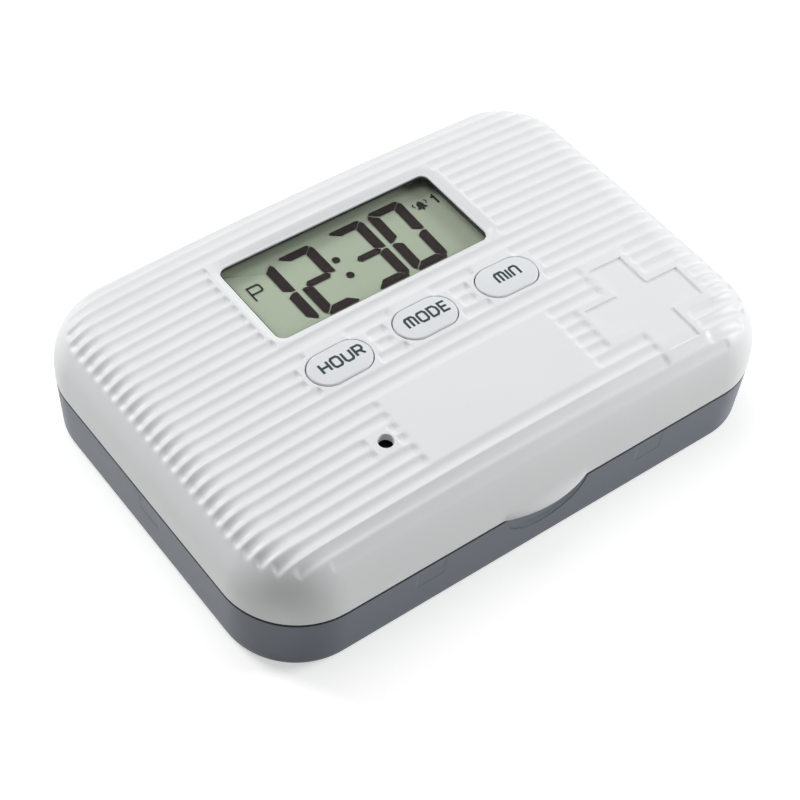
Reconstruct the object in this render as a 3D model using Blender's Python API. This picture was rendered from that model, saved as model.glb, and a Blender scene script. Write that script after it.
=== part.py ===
"""Electronic pill box: a hinged lid with a timer in it, over a tray of six pill compartments.

Metres, +Z up, +X to the right along the long side, the thumb notch at -Y and the hinge at +Y.
The origin is the middle of the underside.
"""

import math

import bmesh
import bpy
from mathutils import Vector

# Whole case
CASE_WIDTH = 0.116
CASE_DEPTH = 0.0814
CORNER_RADIUS = 0.0151
SPLIT_HEIGHT = 0.0136
SPLIT_GAP = 0.0004
FIT = 0.0002
LOOSE_FIT = 0.0003
OVERRUN = 0.001

# Crowned top of the lid and its rounded edge
LID_HEIGHT = 0.01475
CROWN_DROP_X = 0.0025
CROWN_DROP_Y = 0.0015
CROWN_QUARTIC_SHARE = 0.62
LID_SIDE_HEIGHT = 0.0015
LID_SIDE_DRAFT = 0.0001
EDGE_REACH = 0.0096
EDGE_POWER = 2.33
LID_WALL = 0.0018
ROOF_THICKNESS = 0.0018
LEAST_RING_RADIUS = 0.0005
CAPSULE_FLAT = 0.00005
CAPSULE_CORNER_STEPS = 6
CORNER_STEPS = 7
LONG_SIDE_STEPS = 8
SHORT_SIDE_STEPS = 6
EDGE_STEPS = 7
INNER_EDGE_STEPS = 4
CROWN_RING_SHARES = (0.22, 0.48, 0.74, 0.97)

# Grooves across the lid, evenly spaced along the curve of its section
GROOVE_PITCH = 0.00274
GROOVES_EACH_WAY = 14
GROOVE_WIDTH = 0.0020
GROOVE_DEPTH = 0.00045
GROOVE_BORDER = 0.0030
GROOVE_SHORTEST = 0.0012
GROOVE_OVERRUN_SHARE = 0.35
GROOVE_STEP = 0.0180
GROOVE_END_STEP = 0.0030
CURVE_STEP = 0.0001
SLOPE_STEP = 0.00005

# Display
WINDOW_CENTRE_SHARES = (-0.0069, 0.2027)
WINDOW_SIZE_SHARES = (0.4103, 0.2555)
WINDOW_CORNER = 0.0019
WINDOW_DROP = 0.0014
BEZEL_WIDTH = 0.0019
BEZEL_BORDER = 0.0004
RIM_THICKNESS = 0.0005
LENS_FLANGE = 0.0015
LENS_THICKNESS = 0.0010
LENS_SETBACK = 0.00015
LCD_DEPTH = 0.0026
LCD_THICKNESS = 0.0020
LCD_MARGIN = 0.0017
LCD_FRAME_WALL = 0.0012
ZEBRA_WIDTH = 0.0022
ZEBRA_HEIGHT = 0.00245
ZEBRA_SETBACK = 0.0018

# Buttons
BUTTON_NAMES = ("hour", "mode", "min")
BUTTON_MIDDLE_SHARES = (-0.0052, -0.0577)
BUTTON_PITCH_SHARE = 0.1621
BUTTON_SIZE_SHARES = (0.1103, 0.0934)
BUTTON_GAP = 0.0003
BUTTON_PROUD = 0.00015
BUTTON_DOME = 0.00012
BUTTON_EDGE = 0.0003
BUTTON_CROWN_SHARE = 0.25
BUTTON_BORDER = 0.0012
BUTTON_FLANGE = 0.0008
BUTTON_FLANGE_THICKNESS = 0.0010
BUTTON_STEM_RADIUS = 0.0016
DOME_HEIGHT = 0.0023
DOME_BASE_RADIUS = 0.0027
DOME_TOP_RADIUS = 0.0018
DOME_WALL = 0.0005

# Sound hole, blank panel and recessed plus sign
SOUND_HOLE_SHARE = -0.2862
SOUND_HOLE_RADIUS = 0.0015
SOUND_PAD_RADIUS = 0.0031
PANEL_END_SHARES = (-0.1672, 0.1595)
PANEL_DEPTH_SHARE = 0.2015
CROSS_CENTRE_SHARES = (0.3103, -0.2826)
CROSS_UNIT_SHARE = 0.0921
CROSS_RECESS = 0.0007
CROSS_BORDER = 0.0013

# Thumb lip on the lid and finger scoop in the base
LIP_HALF_WIDTH = 0.0094
LIP_REACH = 0.0018
LIP_TOP = 0.0020
LIP_EDGE = 0.0004
LIP_ROOT = 0.0009
LIP_STEPS = 12
SCOOP_HALF_WIDTH = 0.0094
SCOOP_HEIGHT = 0.0069
SCOOP_DEPTH = 0.0013
SCOOP_STEPS_ROUND = 24
SCOOP_STEPS_DEEP = 8

# Base shell
BASE_INSET = 0.00015
BASE_DRAFT = 0.0005
BASE_EDGE_RADIUS = 0.0022
BASE_WALL = 0.0022
BASE_FLOOR = 0.0015
BASE_EDGE_STEPS = 4

# Pill tray
TRAY_WALL = 0.0012
TRAY_FLOOR = 0.0012
TRAY_COLUMNS = 3
TRAY_ROWS = 2
CELL_CORNER = 0.0040
CELL_FLOOR_RADIUS = 0.0030
CELL_FLOOR_STEPS = 3
SNAP_SIZE = (0.0063, 0.0045)
SNAP_TOP = 0.0010
SNAP_POCKET = 0.0008
FRONT_SNAP_SHARE = 0.2155
SIDE_SNAP_SHARE = -0.0246

# Hinge
HINGE_SHARE = 0.2586
HINGE_OUT = 0.0012
KNUCKLE_RADIUS = 0.0020
KNUCKLE_CLEARANCE = 0.0004
BASE_KNUCKLE_LENGTH = 0.0080
LID_KNUCKLE_LENGTH = 0.0050
KNUCKLE_SIDE_GAP = 0.0003
KNUCKLE_ARM_HEIGHT = 0.0035
KNUCKLE_ARM_ROOT = 0.0010
PIN_RADIUS = 0.00075
PIN_BORE_CLEARANCE = 0.0001

# Inner cover, which closes the lid from below
COVER_LIFT = 0.0002
COVER_THICKNESS = 0.0010
COVER_CLEARANCE = 0.0003
PLATFORM_DROP = 0.0009
PLATFORM_MARGIN = 0.0018
BAY_WALL = 0.0010
BAY_WALL_HEADROOM = 0.00675
COVER_SCREW_SHARE = 0.3563
LATCH_HALF_WIDTH = 0.0060
LATCH_THICKNESS = 0.0008
LATCH_DROP = 0.0030
LATCH_NOTCH_SIDE = 0.0012

# Battery cells and their contacts
CELL_RADIUS = 0.00525
CELL_LENGTH = 0.0445
CELL_NUB_RADIUS = 0.0019
CELL_NUB_LENGTH = 0.0008
CELL_CORNER_SHARES = (-0.1121, -0.1966)
CELL_SPACING = 0.0004
CELL_FLOOR_GAP = 0.0002
CELL_HEADROOM = 0.0035
CONTACT_ROOM = 0.0036
CONTACT_THICKNESS = 0.0004
CONTACT_HALF_WIDTH = 0.0042
CONTACT_LOW = 0.0014
CONTACT_HEADROOM = 0.00495
SPRING_WIRE_RADIUS = 0.00025
SPRING_BASE_RADIUS = 0.0031
SPRING_TIP_RADIUS = 0.0018
SPRING_TURNS = 3
SPRING_POINTS_PER_TURN = 10
CONTACT_DIMPLE_RADIUS = 0.0016

# Battery door
DOOR_THICKNESS = 0.0014
DOOR_TAB_WIDTH = 0.0050
DOOR_TAB_REACH = 0.0008
DOOR_TAB_THICKNESS = 0.0007
DOOR_TAB_PITCH = 0.0120
DOOR_TONGUE_LENGTH = 0.0062
DOOR_TONGUE_HALF_WIDTH = 0.0045
DOOR_SCREW_BOSS_HEIGHT = 0.0040

# Circuit board and what it carries
BOARD_THICKNESS = 0.0012
BOARD_BACK_LEFT_SHARES = (-0.3276, 0.3624)
BOARD_RIGHT_SHARE = 0.2845
BOARD_WALL_GAP = 0.00045
BOARD_TONGUE_SHARES = (-0.2586, -0.3686)
BOARD_SCREW_INSET = 0.0033
BUZZER_RADIUS = 0.0046
BUZZER_SETBACK = 0.0055
BUZZER_HEIGHT = 0.0048
BUZZER_PORT_RADIUS = 0.0010
BUZZER_PORT_DEPTH = 0.0010
CHIP_SHARES = (0.0345, 0.1720)
CHIP_RADIUS = 0.0058
CHIP_HEIGHT = 0.0010
CHIP_CROWN_SHARE = 0.7
CRYSTAL_SHARES = (-0.3103, 0.1229)
CRYSTAL_RADIUS = 0.0010
CRYSTAL_LENGTH = 0.0060
LEAD_RADIUS = 0.00045
LEAD_RISE = 0.0012
LEAD_SPACING = 0.0030

# Screws
SCREW_RADIUS = 0.0009
SCREW_HEAD_RADIUS = 0.0020
SCREW_HEAD_HEIGHT = 0.0010
SCREW_LENGTH = 0.0070
SCREW_TIP_SHARE = 0.33
SCREW_SLOT_LENGTH_SHARE = 1.1
SCREW_SLOT_WIDTH = 0.0005
SCREW_SLOT_DEPTH = 0.0005
BOSS_RADIUS = 0.0026
BOSS_ROOT = 0.0009
BOSS_CLEARANCE = 0.00015
ROUND_STEPS = 16
SMALL_ROUND_STEPS = 12
LARGE_ROUND_STEPS = 24

# The corners of a plan outline: the side they lie on along X and Y, and the turn they start at
CORNERS = ((1, -1, -90), (1, 1, 0), (-1, 1, 90), (-1, -1, 180))



def in_plan(shares):
    """A place or size in plan, from its shares of the case's width and depth."""
    return shares[0] * CASE_WIDTH, shares[1] * CASE_DEPTH


# Places in plan that follow the case
WINDOW_CENTRE = in_plan(WINDOW_CENTRE_SHARES)
WINDOW_SIZE = in_plan(WINDOW_SIZE_SHARES)
BUTTON_MIDDLE = in_plan(BUTTON_MIDDLE_SHARES)
BUTTON_PITCH = BUTTON_PITCH_SHARE * CASE_WIDTH
BUTTON_SIZE = in_plan(BUTTON_SIZE_SHARES)
PANEL_LEFT_X, PANEL_RIGHT_X = (share * CASE_WIDTH for share in PANEL_END_SHARES)
PANEL_DEPTH = PANEL_DEPTH_SHARE * CASE_DEPTH
CROSS_CENTRE = in_plan(CROSS_CENTRE_SHARES)
CROSS_UNIT = CROSS_UNIT_SHARE * CASE_DEPTH
FRONT_SNAP_X = FRONT_SNAP_SHARE * CASE_WIDTH
SIDE_SNAP_Y = SIDE_SNAP_SHARE * CASE_DEPTH
HINGE_X = HINGE_SHARE * CASE_WIDTH
CELL_LEFT_X, CELL_BACK_Y = in_plan(CELL_CORNER_SHARES)
BOARD_LEFT_X, BOARD_BACK_Y = in_plan(BOARD_BACK_LEFT_SHARES)
BOARD_RIGHT_X = BOARD_RIGHT_SHARE * CASE_WIDTH
BOARD_TONGUE_LEFT_X, BOARD_TONGUE_FRONT_Y = in_plan(BOARD_TONGUE_SHARES)
CHIP_PLACE = in_plan(CHIP_SHARES)
CRYSTAL_PLACE = in_plan(CRYSTAL_SHARES)

# Levels and places that follow from the sizes above
TOP = SPLIT_HEIGHT + LID_HEIGHT
EDGE_INSET = LID_SIDE_DRAFT + EDGE_REACH
WINDOW_Z = TOP - WINDOW_DROP
LENS_TOP_Z = WINDOW_Z - RIM_THICKNESS - FIT
LCD_TOP_Z = WINDOW_Z - LCD_DEPTH
BOARD_TOP_Z = LCD_TOP_Z - LCD_THICKNESS - ZEBRA_HEIGHT
BOARD_BOTTOM_Z = BOARD_TOP_Z - BOARD_THICKNESS
BASE_TOP_Z = SPLIT_HEIGHT - SPLIT_GAP
COVER_BOTTOM_Z = SPLIT_HEIGHT + COVER_LIFT
COVER_TOP_Z = COVER_BOTTOM_Z + COVER_THICKNESS
CELL_ROOM = CELL_HEADROOM + 2 * CELL_RADIUS + CELL_FLOOR_GAP + DOOR_THICKNESS
PLATFORM_Z = min(SPLIT_HEIGHT - PLATFORM_DROP, TOP - CELL_ROOM)
DOOR_TOP_Z = PLATFORM_Z + DOOR_THICKNESS
CELL_Z = DOOR_TOP_Z + CELL_FLOOR_GAP + CELL_RADIUS
CELL_FRONT_Y = CELL_BACK_Y - 2 * CELL_RADIUS - CELL_SPACING
CELL_RIGHT_X = CELL_LEFT_X + CELL_LENGTH
BAY_LEFT_X = CELL_LEFT_X - CONTACT_ROOM
BAY_RIGHT_X = CELL_RIGHT_X + CONTACT_ROOM
BAY_BACK_Y = CELL_BACK_Y + CELL_RADIUS + LOOSE_FIT
BAY_FRONT_Y = CELL_FRONT_Y - CELL_RADIUS - LOOSE_FIT
BAY_MIDDLE_Y = (BAY_BACK_Y + BAY_FRONT_Y) / 2
BOARD_FRONT_Y = BAY_BACK_Y + BAY_WALL + BOARD_WALL_GAP
SOUND_HOLE = (BAY_LEFT_X - BAY_WALL - BUZZER_SETBACK, SOUND_HOLE_SHARE * CASE_DEPTH)
DOOR_SCREW_X = BAY_RIGHT_X + DOOR_TONGUE_LENGTH / 2
COVER_SCREW_X = (BAY_RIGHT_X + BAY_WALL + CASE_WIDTH / 2) / 2
COVER_SCREW_Y = COVER_SCREW_SHARE * CASE_DEPTH
TRAY_TOP_Z = PLATFORM_Z - SPLIT_GAP
TRAY_BOTTOM_Z = BASE_FLOOR + LOOSE_FIT
HINGE_AXIS = (CASE_DEPTH / 2 + HINGE_OUT, SPLIT_HEIGHT - SPLIT_GAP / 2)


# Plain shapes, each a list of points and a list of faces


def merge(*shapes):
    """One shape that holds all the given ones, still apart."""
    points, faces = [], []
    for more_points, more_faces in shapes:
        start = len(points)
        points += more_points
        faces += [[start + i for i in face] for face in more_faces]
    return points, faces


def loft(rings, closing_faces=None):
    """A closed solid through rings of equal count, the ends capped flat or with the given faces."""
    count = len(rings[0])
    points = [point for ring in rings for point in ring]
    faces = []
    for level in range(len(rings) - 1):
        for i in range(count):
            j = (i + 1) % count
            low, high = level * count, (level + 1) * count
            faces.append([low + i, low + j, high + j, high + i])
    caps = closing_faces or [list(range(count))]
    last = (len(rings) - 1) * count
    faces += [list(reversed(cap)) for cap in caps]
    faces += [[last + i for i in cap] for cap in caps]
    return points, faces


def prism(outline, low, high):
    """An outline in plan, extruded from one height to another."""
    return loft([[(x, y, z) for x, y in outline] for z in (low, high)])


def box(low, high):
    outline = [(low[0], low[1]), (high[0], low[1]), (high[0], high[1]), (low[0], high[1])]
    return prism(outline, low[2], high[2])


def circle(centre, radius, steps=ROUND_STEPS):
    turns = [math.tau * i / steps for i in range(steps)]
    return [(centre[0] + radius * math.cos(a), centre[1] + radius * math.sin(a)) for a in turns]


def turned(centre, profile, steps=ROUND_STEPS):
    """A solid of revolution about a vertical axis, from (radius, height) pairs, lowest first."""
    return loft([[(x, y, z) for x, y in circle(centre, r, steps)] for r, z in profile])


def lying_cylinder(low_x, high_x, axis, radius, steps=ROUND_STEPS):
    """A cylinder along X, about an axis given by its Y and Z."""
    return loft([[(x, y, z) for y, z in circle(axis, radius, steps)] for x in (low_x, high_x)])


def rounded_rectangle(centre, half, radii, corner_steps=4, long_steps=1, short_steps=1):
    """Points of a rectangle with round corners, anticlockwise, its sides split into equal steps.

    The radii are one number, or one for each corner in the order of CORNERS.
    """
    arcs = []
    each = radii if isinstance(radii, list) else [radii] * len(CORNERS)
    for (side_x, side_y, start), radius in zip(CORNERS, each):
        middle = (centre[0] + side_x * (half[0] - radius), centre[1] + side_y * (half[1] - radius))
        turns = [math.radians(start + 90 * i / corner_steps) for i in range(corner_steps + 1)]
        arcs.append(
            [(middle[0] + radius * math.cos(a), middle[1] + radius * math.sin(a)) for a in turns]
        )
    points = []
    for i, arc in enumerate(arcs):
        points += arc
        steps = long_steps if i % 2 else short_steps
        end, start = Vector(arc[-1]), Vector(arcs[(i + 1) % 4][0])
        points += [tuple(end.lerp(start, step / steps)) for step in range(1, steps)]
    return points


def capsule(centre, size, grow=0.0):
    half = (size[0] / 2 + grow, size[1] / 2 + grow)
    return rounded_rectangle(centre, half, half[1] - CAPSULE_FLAT, CAPSULE_CORNER_STEPS)


def tube(path, radius, sides=6):
    """A round tube along a path that never runs along X, its sections turned to match X."""
    rings = []
    for i, point in enumerate(path):
        before, after = path[max(i - 1, 0)], path[min(i + 1, len(path) - 1)]
        along = (Vector(after) - Vector(before)).normalized()
        side = along.cross(Vector((1, 0, 0))).normalized()
        up = side.cross(along)
        turns = [math.tau * k / sides for k in range(sides)]
        rings.append(
            [tuple(Vector(point) + radius * (side * math.cos(a) + up * math.sin(a))) for a in turns]
        )
    return loft(rings)


# Objects


def clear_scene():
    for thing in list(bpy.data.objects):
        bpy.data.objects.remove(thing, do_unlink=True)


def plastic(name, colour, roughness=0.45, metallic=0.0, alpha=1.0):
    """A Principled material in the piece's own colour."""
    material = bpy.data.materials.new(name)
    material.use_nodes = True
    shader = material.node_tree.nodes["Principled BSDF"]
    shader.inputs["Base Color"].default_value = (*colour, 1.0)
    shader.inputs["Roughness"].default_value = roughness
    shader.inputs["Metallic"].default_value = metallic
    shader.inputs["Alpha"].default_value = alpha
    material.diffuse_color = (*colour, alpha)
    return material


def add_object(name, shape, origin, parent):
    """An object made of a shape in world coordinates, its own origin at the given place."""
    origin = Vector(origin)
    mesh = bpy.data.meshes.new(name)
    points, faces = shape
    mesh.from_pydata([tuple(Vector(point) - origin) for point in points], [], faces)
    thing = bpy.data.objects.new(name, mesh)
    bpy.context.scene.collection.objects.link(thing)
    thing.location = origin
    if parent:
        thing.parent = parent
        thing.matrix_parent_inverse = parent.matrix_world.inverted()
    settle_faces(mesh)
    return thing


def settle_faces(mesh):
    """Turns every face outward and splits it into triangles, so that none of them is bent."""
    work = bmesh.new()
    work.from_mesh(mesh)
    bmesh.ops.recalc_face_normals(work, faces=work.faces)
    bmesh.ops.triangulate(work, faces=work.faces)
    work.to_mesh(mesh)
    work.free()


def piece(name, shape, material, parent, origin=(0, 0, 0), add=(), cut=()):
    """A named sub-part: a shape, with further shapes joined to it and then others cut from it."""
    thing = add_object(name, shape, origin, parent)
    thing.data.materials.append(material)
    thing.data.shade_smooth()
    thing.data.set_sharp_from_angle(angle=math.radians(30))
    for operation, shapes in (("UNION", add), ("DIFFERENCE", cut)):
        for number, other in enumerate(shapes):
            tool = add_object(f"{name}_{operation.lower()}_{number}", other, origin, parent)
            tool.hide_render = True
            tool.display_type = "WIRE"
            modifier = thing.modifiers.new(tool.name, "BOOLEAN")
            modifier.operation = operation
            modifier.solver = "EXACT"
            modifier.object = tool
    return thing


def empty(name, place, parent=None):
    thing = bpy.data.objects.new(name, None)
    thing.location = place
    bpy.context.scene.collection.objects.link(thing)
    if parent:
        thing.parent = parent
        thing.matrix_parent_inverse = parent.matrix_world.inverted()
    bpy.context.view_layer.update()
    return thing


# The lid's outer surface


def crown(x, y):
    """Height of the crowned top, before its edge rounds down."""
    across = (2 * y / CASE_DEPTH) ** 2
    fall_y = (1 - CROWN_QUARTIC_SHARE) * across + CROWN_QUARTIC_SHARE * across**2
    return TOP - CROWN_DROP_X * (2 * x / CASE_WIDTH) ** 2 - CROWN_DROP_Y * fall_y


def inset_of(x, y):
    """How far a place in plan lies inside the case's outline, and the outward direction there."""
    straight = (CASE_WIDTH / 2 - CORNER_RADIUS, CASE_DEPTH / 2 - CORNER_RADIUS)
    past = Vector((abs(x) - straight[0], abs(y) - straight[1]))
    if past.x > 0 and past.y > 0:
        out = Vector((math.copysign(past.x, x), math.copysign(past.y, y)))
        return CORNER_RADIUS - past.length, out.normalized()
    if past.x > past.y:
        return CORNER_RADIUS - past.x, Vector((math.copysign(1, x), 0))
    return CORNER_RADIUS - past.y, Vector((0, math.copysign(1, y)))


def edge_share(inset):
    """How much of the edge's rise is done at an inset, along a superellipse."""
    left = max(0.0, 1 - max(0.0, inset - LID_SIDE_DRAFT) / EDGE_REACH)
    return (1 - left**EDGE_POWER) ** (1 / EDGE_POWER)


def lid_surface(x, y):
    """Height of the lid's outer surface at a place in plan."""
    inset, out = inset_of(x, y)
    inward = max(0.0, EDGE_INSET - inset)
    top = crown(x - out.x * inward, y - out.y * inward)
    foot = SPLIT_HEIGHT + LID_SIDE_HEIGHT
    return foot + (top - foot) * edge_share(inset)


def case_ring(inset, height):
    """The case's outline at an inset, each point at the height that the function gives for it."""
    half = (CASE_WIDTH / 2 - inset, CASE_DEPTH / 2 - inset)
    radius = max(CORNER_RADIUS - inset, LEAST_RING_RADIUS)
    outline = rounded_rectangle(
        (0, 0), half, radius, CORNER_STEPS, LONG_SIDE_STEPS, SHORT_SIDE_STEPS
    )
    return [(x, y, height(x, y)) for x, y in outline]


def case_caps():
    """Faces that close a ring of the case's outline: a strip at each end and quads between."""
    corners = 4 * (CORNER_STEPS + 1)
    count = corners + 2 * (LONG_SIDE_STEPS - 1) + 2 * (SHORT_SIDE_STEPS - 1)
    mirror = 2 * CORNER_STEPS + SHORT_SIDE_STEPS
    first = CORNER_STEPS + SHORT_SIDE_STEPS + 1
    last = first + 2 * CORNER_STEPS + LONG_SIDE_STEPS - 2
    caps = [list(range(CORNER_STEPS - 1, first + 1))]
    caps.append([i % count for i in range(last, mirror - last + count + 1)])
    for i in range(first, last):
        caps.append([i, i + 1, (mirror - i - 1) % count, (mirror - i) % count])
    return caps


def dome_rings(inset, reach, floor, foot, drop, steps):
    """Rings of a crowned dome: a straight side, the rounded edge and the crown, foot first."""
    rings = [case_ring(inset, lambda x, y: floor), case_ring(inset, lambda x, y: foot)]
    inner = case_ring(inset + reach, lambda x, y: crown(x, y) - drop)
    for step in range(1, steps + 1):
        turn = math.radians(90 * step / steps)
        at = inset + reach * (1 - math.cos(turn) ** (2 / EDGE_POWER))
        rise = math.sin(turn) ** (2 / EDGE_POWER)
        ring = case_ring(at, lambda x, y: 0)
        rings.append(
            [(x, y, foot + (top[2] - foot) * rise) for (x, y, _), top in zip(ring, inner)]
        )
    left = CASE_DEPTH / 2 - inset - reach
    for share in CROWN_RING_SHARES:
        rings.append(case_ring(inset + reach + share * left, lambda x, y: crown(x, y) - drop))
    return rings


# Grooves


def groove_lines():
    """The Y of each groove, stepped evenly along the curve of the lid's middle section."""
    lines = []
    y, run = 0.0, 0.0
    for number in range(1, GROOVES_EACH_WAY + 1):
        while run < number * GROOVE_PITCH:
            rise = lid_surface(0, y + CURVE_STEP) - lid_surface(0, y)
            run += math.hypot(CURVE_STEP, rise)
            y += CURVE_STEP
        lines.append(y)
    return [-y for y in reversed(lines)] + [0.0] + lines


def groove_limit(y):
    """How far out along X a groove runs before the plain border of the lid."""
    border = CORNER_RADIUS - GROOVE_BORDER
    past = abs(y) - (CASE_DEPTH / 2 - CORNER_RADIUS)
    if past <= 0:
        return CASE_WIDTH / 2 - GROOVE_BORDER
    if past >= border:
        return 0.0
    return CASE_WIDTH / 2 - CORNER_RADIUS + math.sqrt(border**2 - past**2)


def rounded_span(y, centre, half, radius):
    """The X range that a rectangle with round corners covers at a Y, or None."""
    past = abs(y - centre[1]) - (half[1] - radius)
    if past >= radius:
        return None
    reach = half[0] - radius + math.sqrt(radius**2 - max(past, 0.0) ** 2)
    return centre[0] - reach, centre[0] + reach


def button_places():
    x, y = BUTTON_MIDDLE
    return [(x + step * BUTTON_PITCH, y) for step in (-1, 0, 1)]


def plain_spans(y):
    """The X ranges at a Y that stay smooth, around the display, buttons, hole, panel and plus."""
    around = BEZEL_WIDTH + BEZEL_BORDER
    half_window = [size / 2 + around for size in WINDOW_SIZE]
    spans = [rounded_span(y, WINDOW_CENTRE, half_window, WINDOW_CORNER + around)]
    half_button = [size / 2 + BUTTON_BORDER for size in BUTTON_SIZE]
    spans += [rounded_span(y, place, half_button, half_button[1]) for place in button_places()]
    pad = (SOUND_PAD_RADIUS, SOUND_PAD_RADIUS)
    spans.append(rounded_span(y, SOUND_HOLE, pad, SOUND_PAD_RADIUS))
    if abs(y - SOUND_HOLE[1]) < PANEL_DEPTH / 2:
        spans.append((PANEL_LEFT_X, PANEL_RIGHT_X))
    from_middle = abs(y - CROSS_CENTRE[1])
    for half_x, half_y in ((3, 1), (1, 3)):
        if from_middle < half_y * CROSS_UNIT / 2 + CROSS_BORDER:
            reach = half_x * CROSS_UNIT / 2 + CROSS_BORDER
            spans.append((CROSS_CENTRE[0] - reach, CROSS_CENTRE[0] + reach))
    return sorted(span for span in spans if span)


def groove_runs(y):
    """The stretches of X along which the groove at a Y is cut."""
    limit = groove_limit(y)
    runs, start = [], -limit
    for low, high in plain_spans(y):
        if low > start:
            runs.append((start, low))
        start = max(start, high)
    runs.append((start, limit))
    return [run for run in runs if run[1] - run[0] > GROOVE_SHORTEST]


def groove_stations(y, low, high):
    """Places along a groove, closer together where the lid's edge curves down."""
    in_corner = abs(y) > CASE_DEPTH / 2 - CORNER_RADIUS
    rounding = CORNER_RADIUS if in_corner else EDGE_INSET + GROOVE_END_STEP / 2
    shoulder = CASE_WIDTH / 2 - rounding
    stations = {low, high}
    flat_low, flat_high = max(low, -shoulder), min(high, shoulder)
    for start, end, step in (
        (low, flat_low, GROOVE_END_STEP),
        (flat_low, flat_high, GROOVE_STEP),
        (flat_high, high, GROOVE_END_STEP),
    ):
        count = max(1, math.ceil((end - start) / step))
        if end > start:
            stations |= {start + (end - start) * i / count for i in range(count + 1)}
    ordered = sorted(stations)
    return [x for x, after in zip(ordered, ordered[1:] + [math.inf]) if after - x > CURVE_STEP]


def groove_bar(y, low, high):
    """A three-sided bar that cuts one stretch of groove, square to the surface across it."""
    above = OVERRUN * GROOVE_OVERRUN_SHARE
    widen = (GROOVE_DEPTH + above) / GROOVE_DEPTH
    rings = []
    for x in groove_stations(y, low, high):
        z = lid_surface(x, y)
        slope = (lid_surface(x, y + SLOPE_STEP) - lid_surface(x, y - SLOPE_STEP)) / 2 / SLOPE_STEP
        across = Vector((0, 1, slope)).normalized()
        out = Vector((0, -slope, 1)).normalized()
        middle = Vector((x, y, z))
        half = across * GROOVE_WIDTH / 2 * widen
        rings.append(
            [
                tuple(middle - out * GROOVE_DEPTH),
                tuple(middle + half + out * above),
                tuple(middle - half + out * above),
            ]
        )
    return loft(rings)


def groove_cutters():
    """The grooves in two sets, so that no two bars of a set touch."""
    sets = ([], [])
    for number, y in enumerate(groove_lines()):
        sets[number % 2].extend(groove_bar(y, low, high) for low, high in groove_runs(y))
    return [merge(*bars) for bars in sets]


# The lid


def window_outline(grow=0.0, steps=4):
    half = (WINDOW_SIZE[0] / 2 + grow, WINDOW_SIZE[1] / 2 + grow)
    return rounded_rectangle(WINDOW_CENTRE, half, WINDOW_CORNER + max(grow, 0), steps, 5, 3)


def bezel_cutter():
    """The sloping frame round the display, from the crown down to the window's flat rim."""
    low = [Vector((x, y, WINDOW_Z)) for x, y in window_outline()]
    high = [Vector((x, y, lid_surface(x, y))) for x, y in window_outline(BEZEL_WIDTH)]
    above = [outer + (outer - inner) for inner, outer in zip(low, high)]
    return loft([[tuple(p) for p in ring] for ring in (low, high, above)])


def cross_corners():
    """The plus sign's outline in half units, anticlockwise from its right arm."""
    arm = [(3, -1), (3, 1), (1, 1)]
    corners = []
    for _ in CORNERS:
        corners += arm
        arm = [(-y, x) for x, y in arm]
    return corners


def cross_cutter():
    """The recessed plus sign, its floor a steady depth under the crown."""
    half = CROSS_UNIT / 2
    outline = [(CROSS_CENTRE[0] + i * half, CROSS_CENTRE[1] + j * half) for i, j in cross_corners()]
    rings = [
        [(x, y, lid_surface(x, y) + lift) for x, y in outline] for lift in (-CROSS_RECESS, OVERRUN)
    ]
    squares = [[0, 1, 2, 11], [2, 3, 4, 5], [5, 6, 7, 8], [8, 9, 10, 11], [2, 5, 8, 11]]
    return loft(rings, squares)


def thumb_lip():
    """A lip that swells from the lid's front edge, sloping on top, to lift the lid by."""
    front = -CASE_DEPTH / 2 + LID_SIDE_DRAFT
    radius = (LIP_HALF_WIDTH**2 + LIP_REACH**2) / (2 * LIP_REACH)
    middle_y = front - LIP_REACH + radius
    sweep = math.asin(LIP_HALF_WIDTH / radius)
    turns = [sweep * (2 * i / LIP_STEPS - 1) for i in range(LIP_STEPS + 1)]
    arc = [(radius * math.sin(a), middle_y - radius * math.cos(a)) for a in turns]
    root = front + LIP_ROOT
    rows = (
        [(x, root, SPLIT_HEIGHT) for x, y in arc],
        [(x, y, SPLIT_HEIGHT) for x, y in arc],
        [(x, y, SPLIT_HEIGHT + LIP_EDGE) for x, y in arc],
        [(x, root, SPLIT_HEIGHT + LIP_TOP) for x, y in arc],
    )
    return loft([[row[i] for row in rows] for i in range(LIP_STEPS + 1)])


def boss_places():
    """Screw bosses under the roof: (place, height of the boss's foot)."""
    places = []
    for side_x in (-1, 1):
        for side_y in (-1, 1):
            place = (side_x * COVER_SCREW_X, side_y * COVER_SCREW_Y)
            places.append((place, COVER_TOP_Z + FIT))
    for place in board_screw_places():
        places.append((place, BOARD_TOP_Z + FIT))
    return places


def board_screw_places():
    xs = (BOARD_LEFT_X + BOARD_SCREW_INSET, BOARD_RIGHT_X - BOARD_SCREW_INSET)
    ys = (BOARD_FRONT_Y + BOARD_SCREW_INSET, BOARD_BACK_Y - BOARD_SCREW_INSET)
    return [(x, y) for x in xs for y in ys]


def knuckle_spans(of_lid):
    """The X ranges of the lid's outer knuckles or of the base's middle ones, at both hinges."""
    half = BASE_KNUCKLE_LENGTH / 2
    near = half + KNUCKLE_SIDE_GAP
    far = near + LID_KNUCKLE_LENGTH
    offsets = [(-far, -near), (near, far)] if of_lid else [(-half, half)]
    return [(x + low, x + high) for x in (-HINGE_X, HINGE_X) for low, high in offsets]


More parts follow.
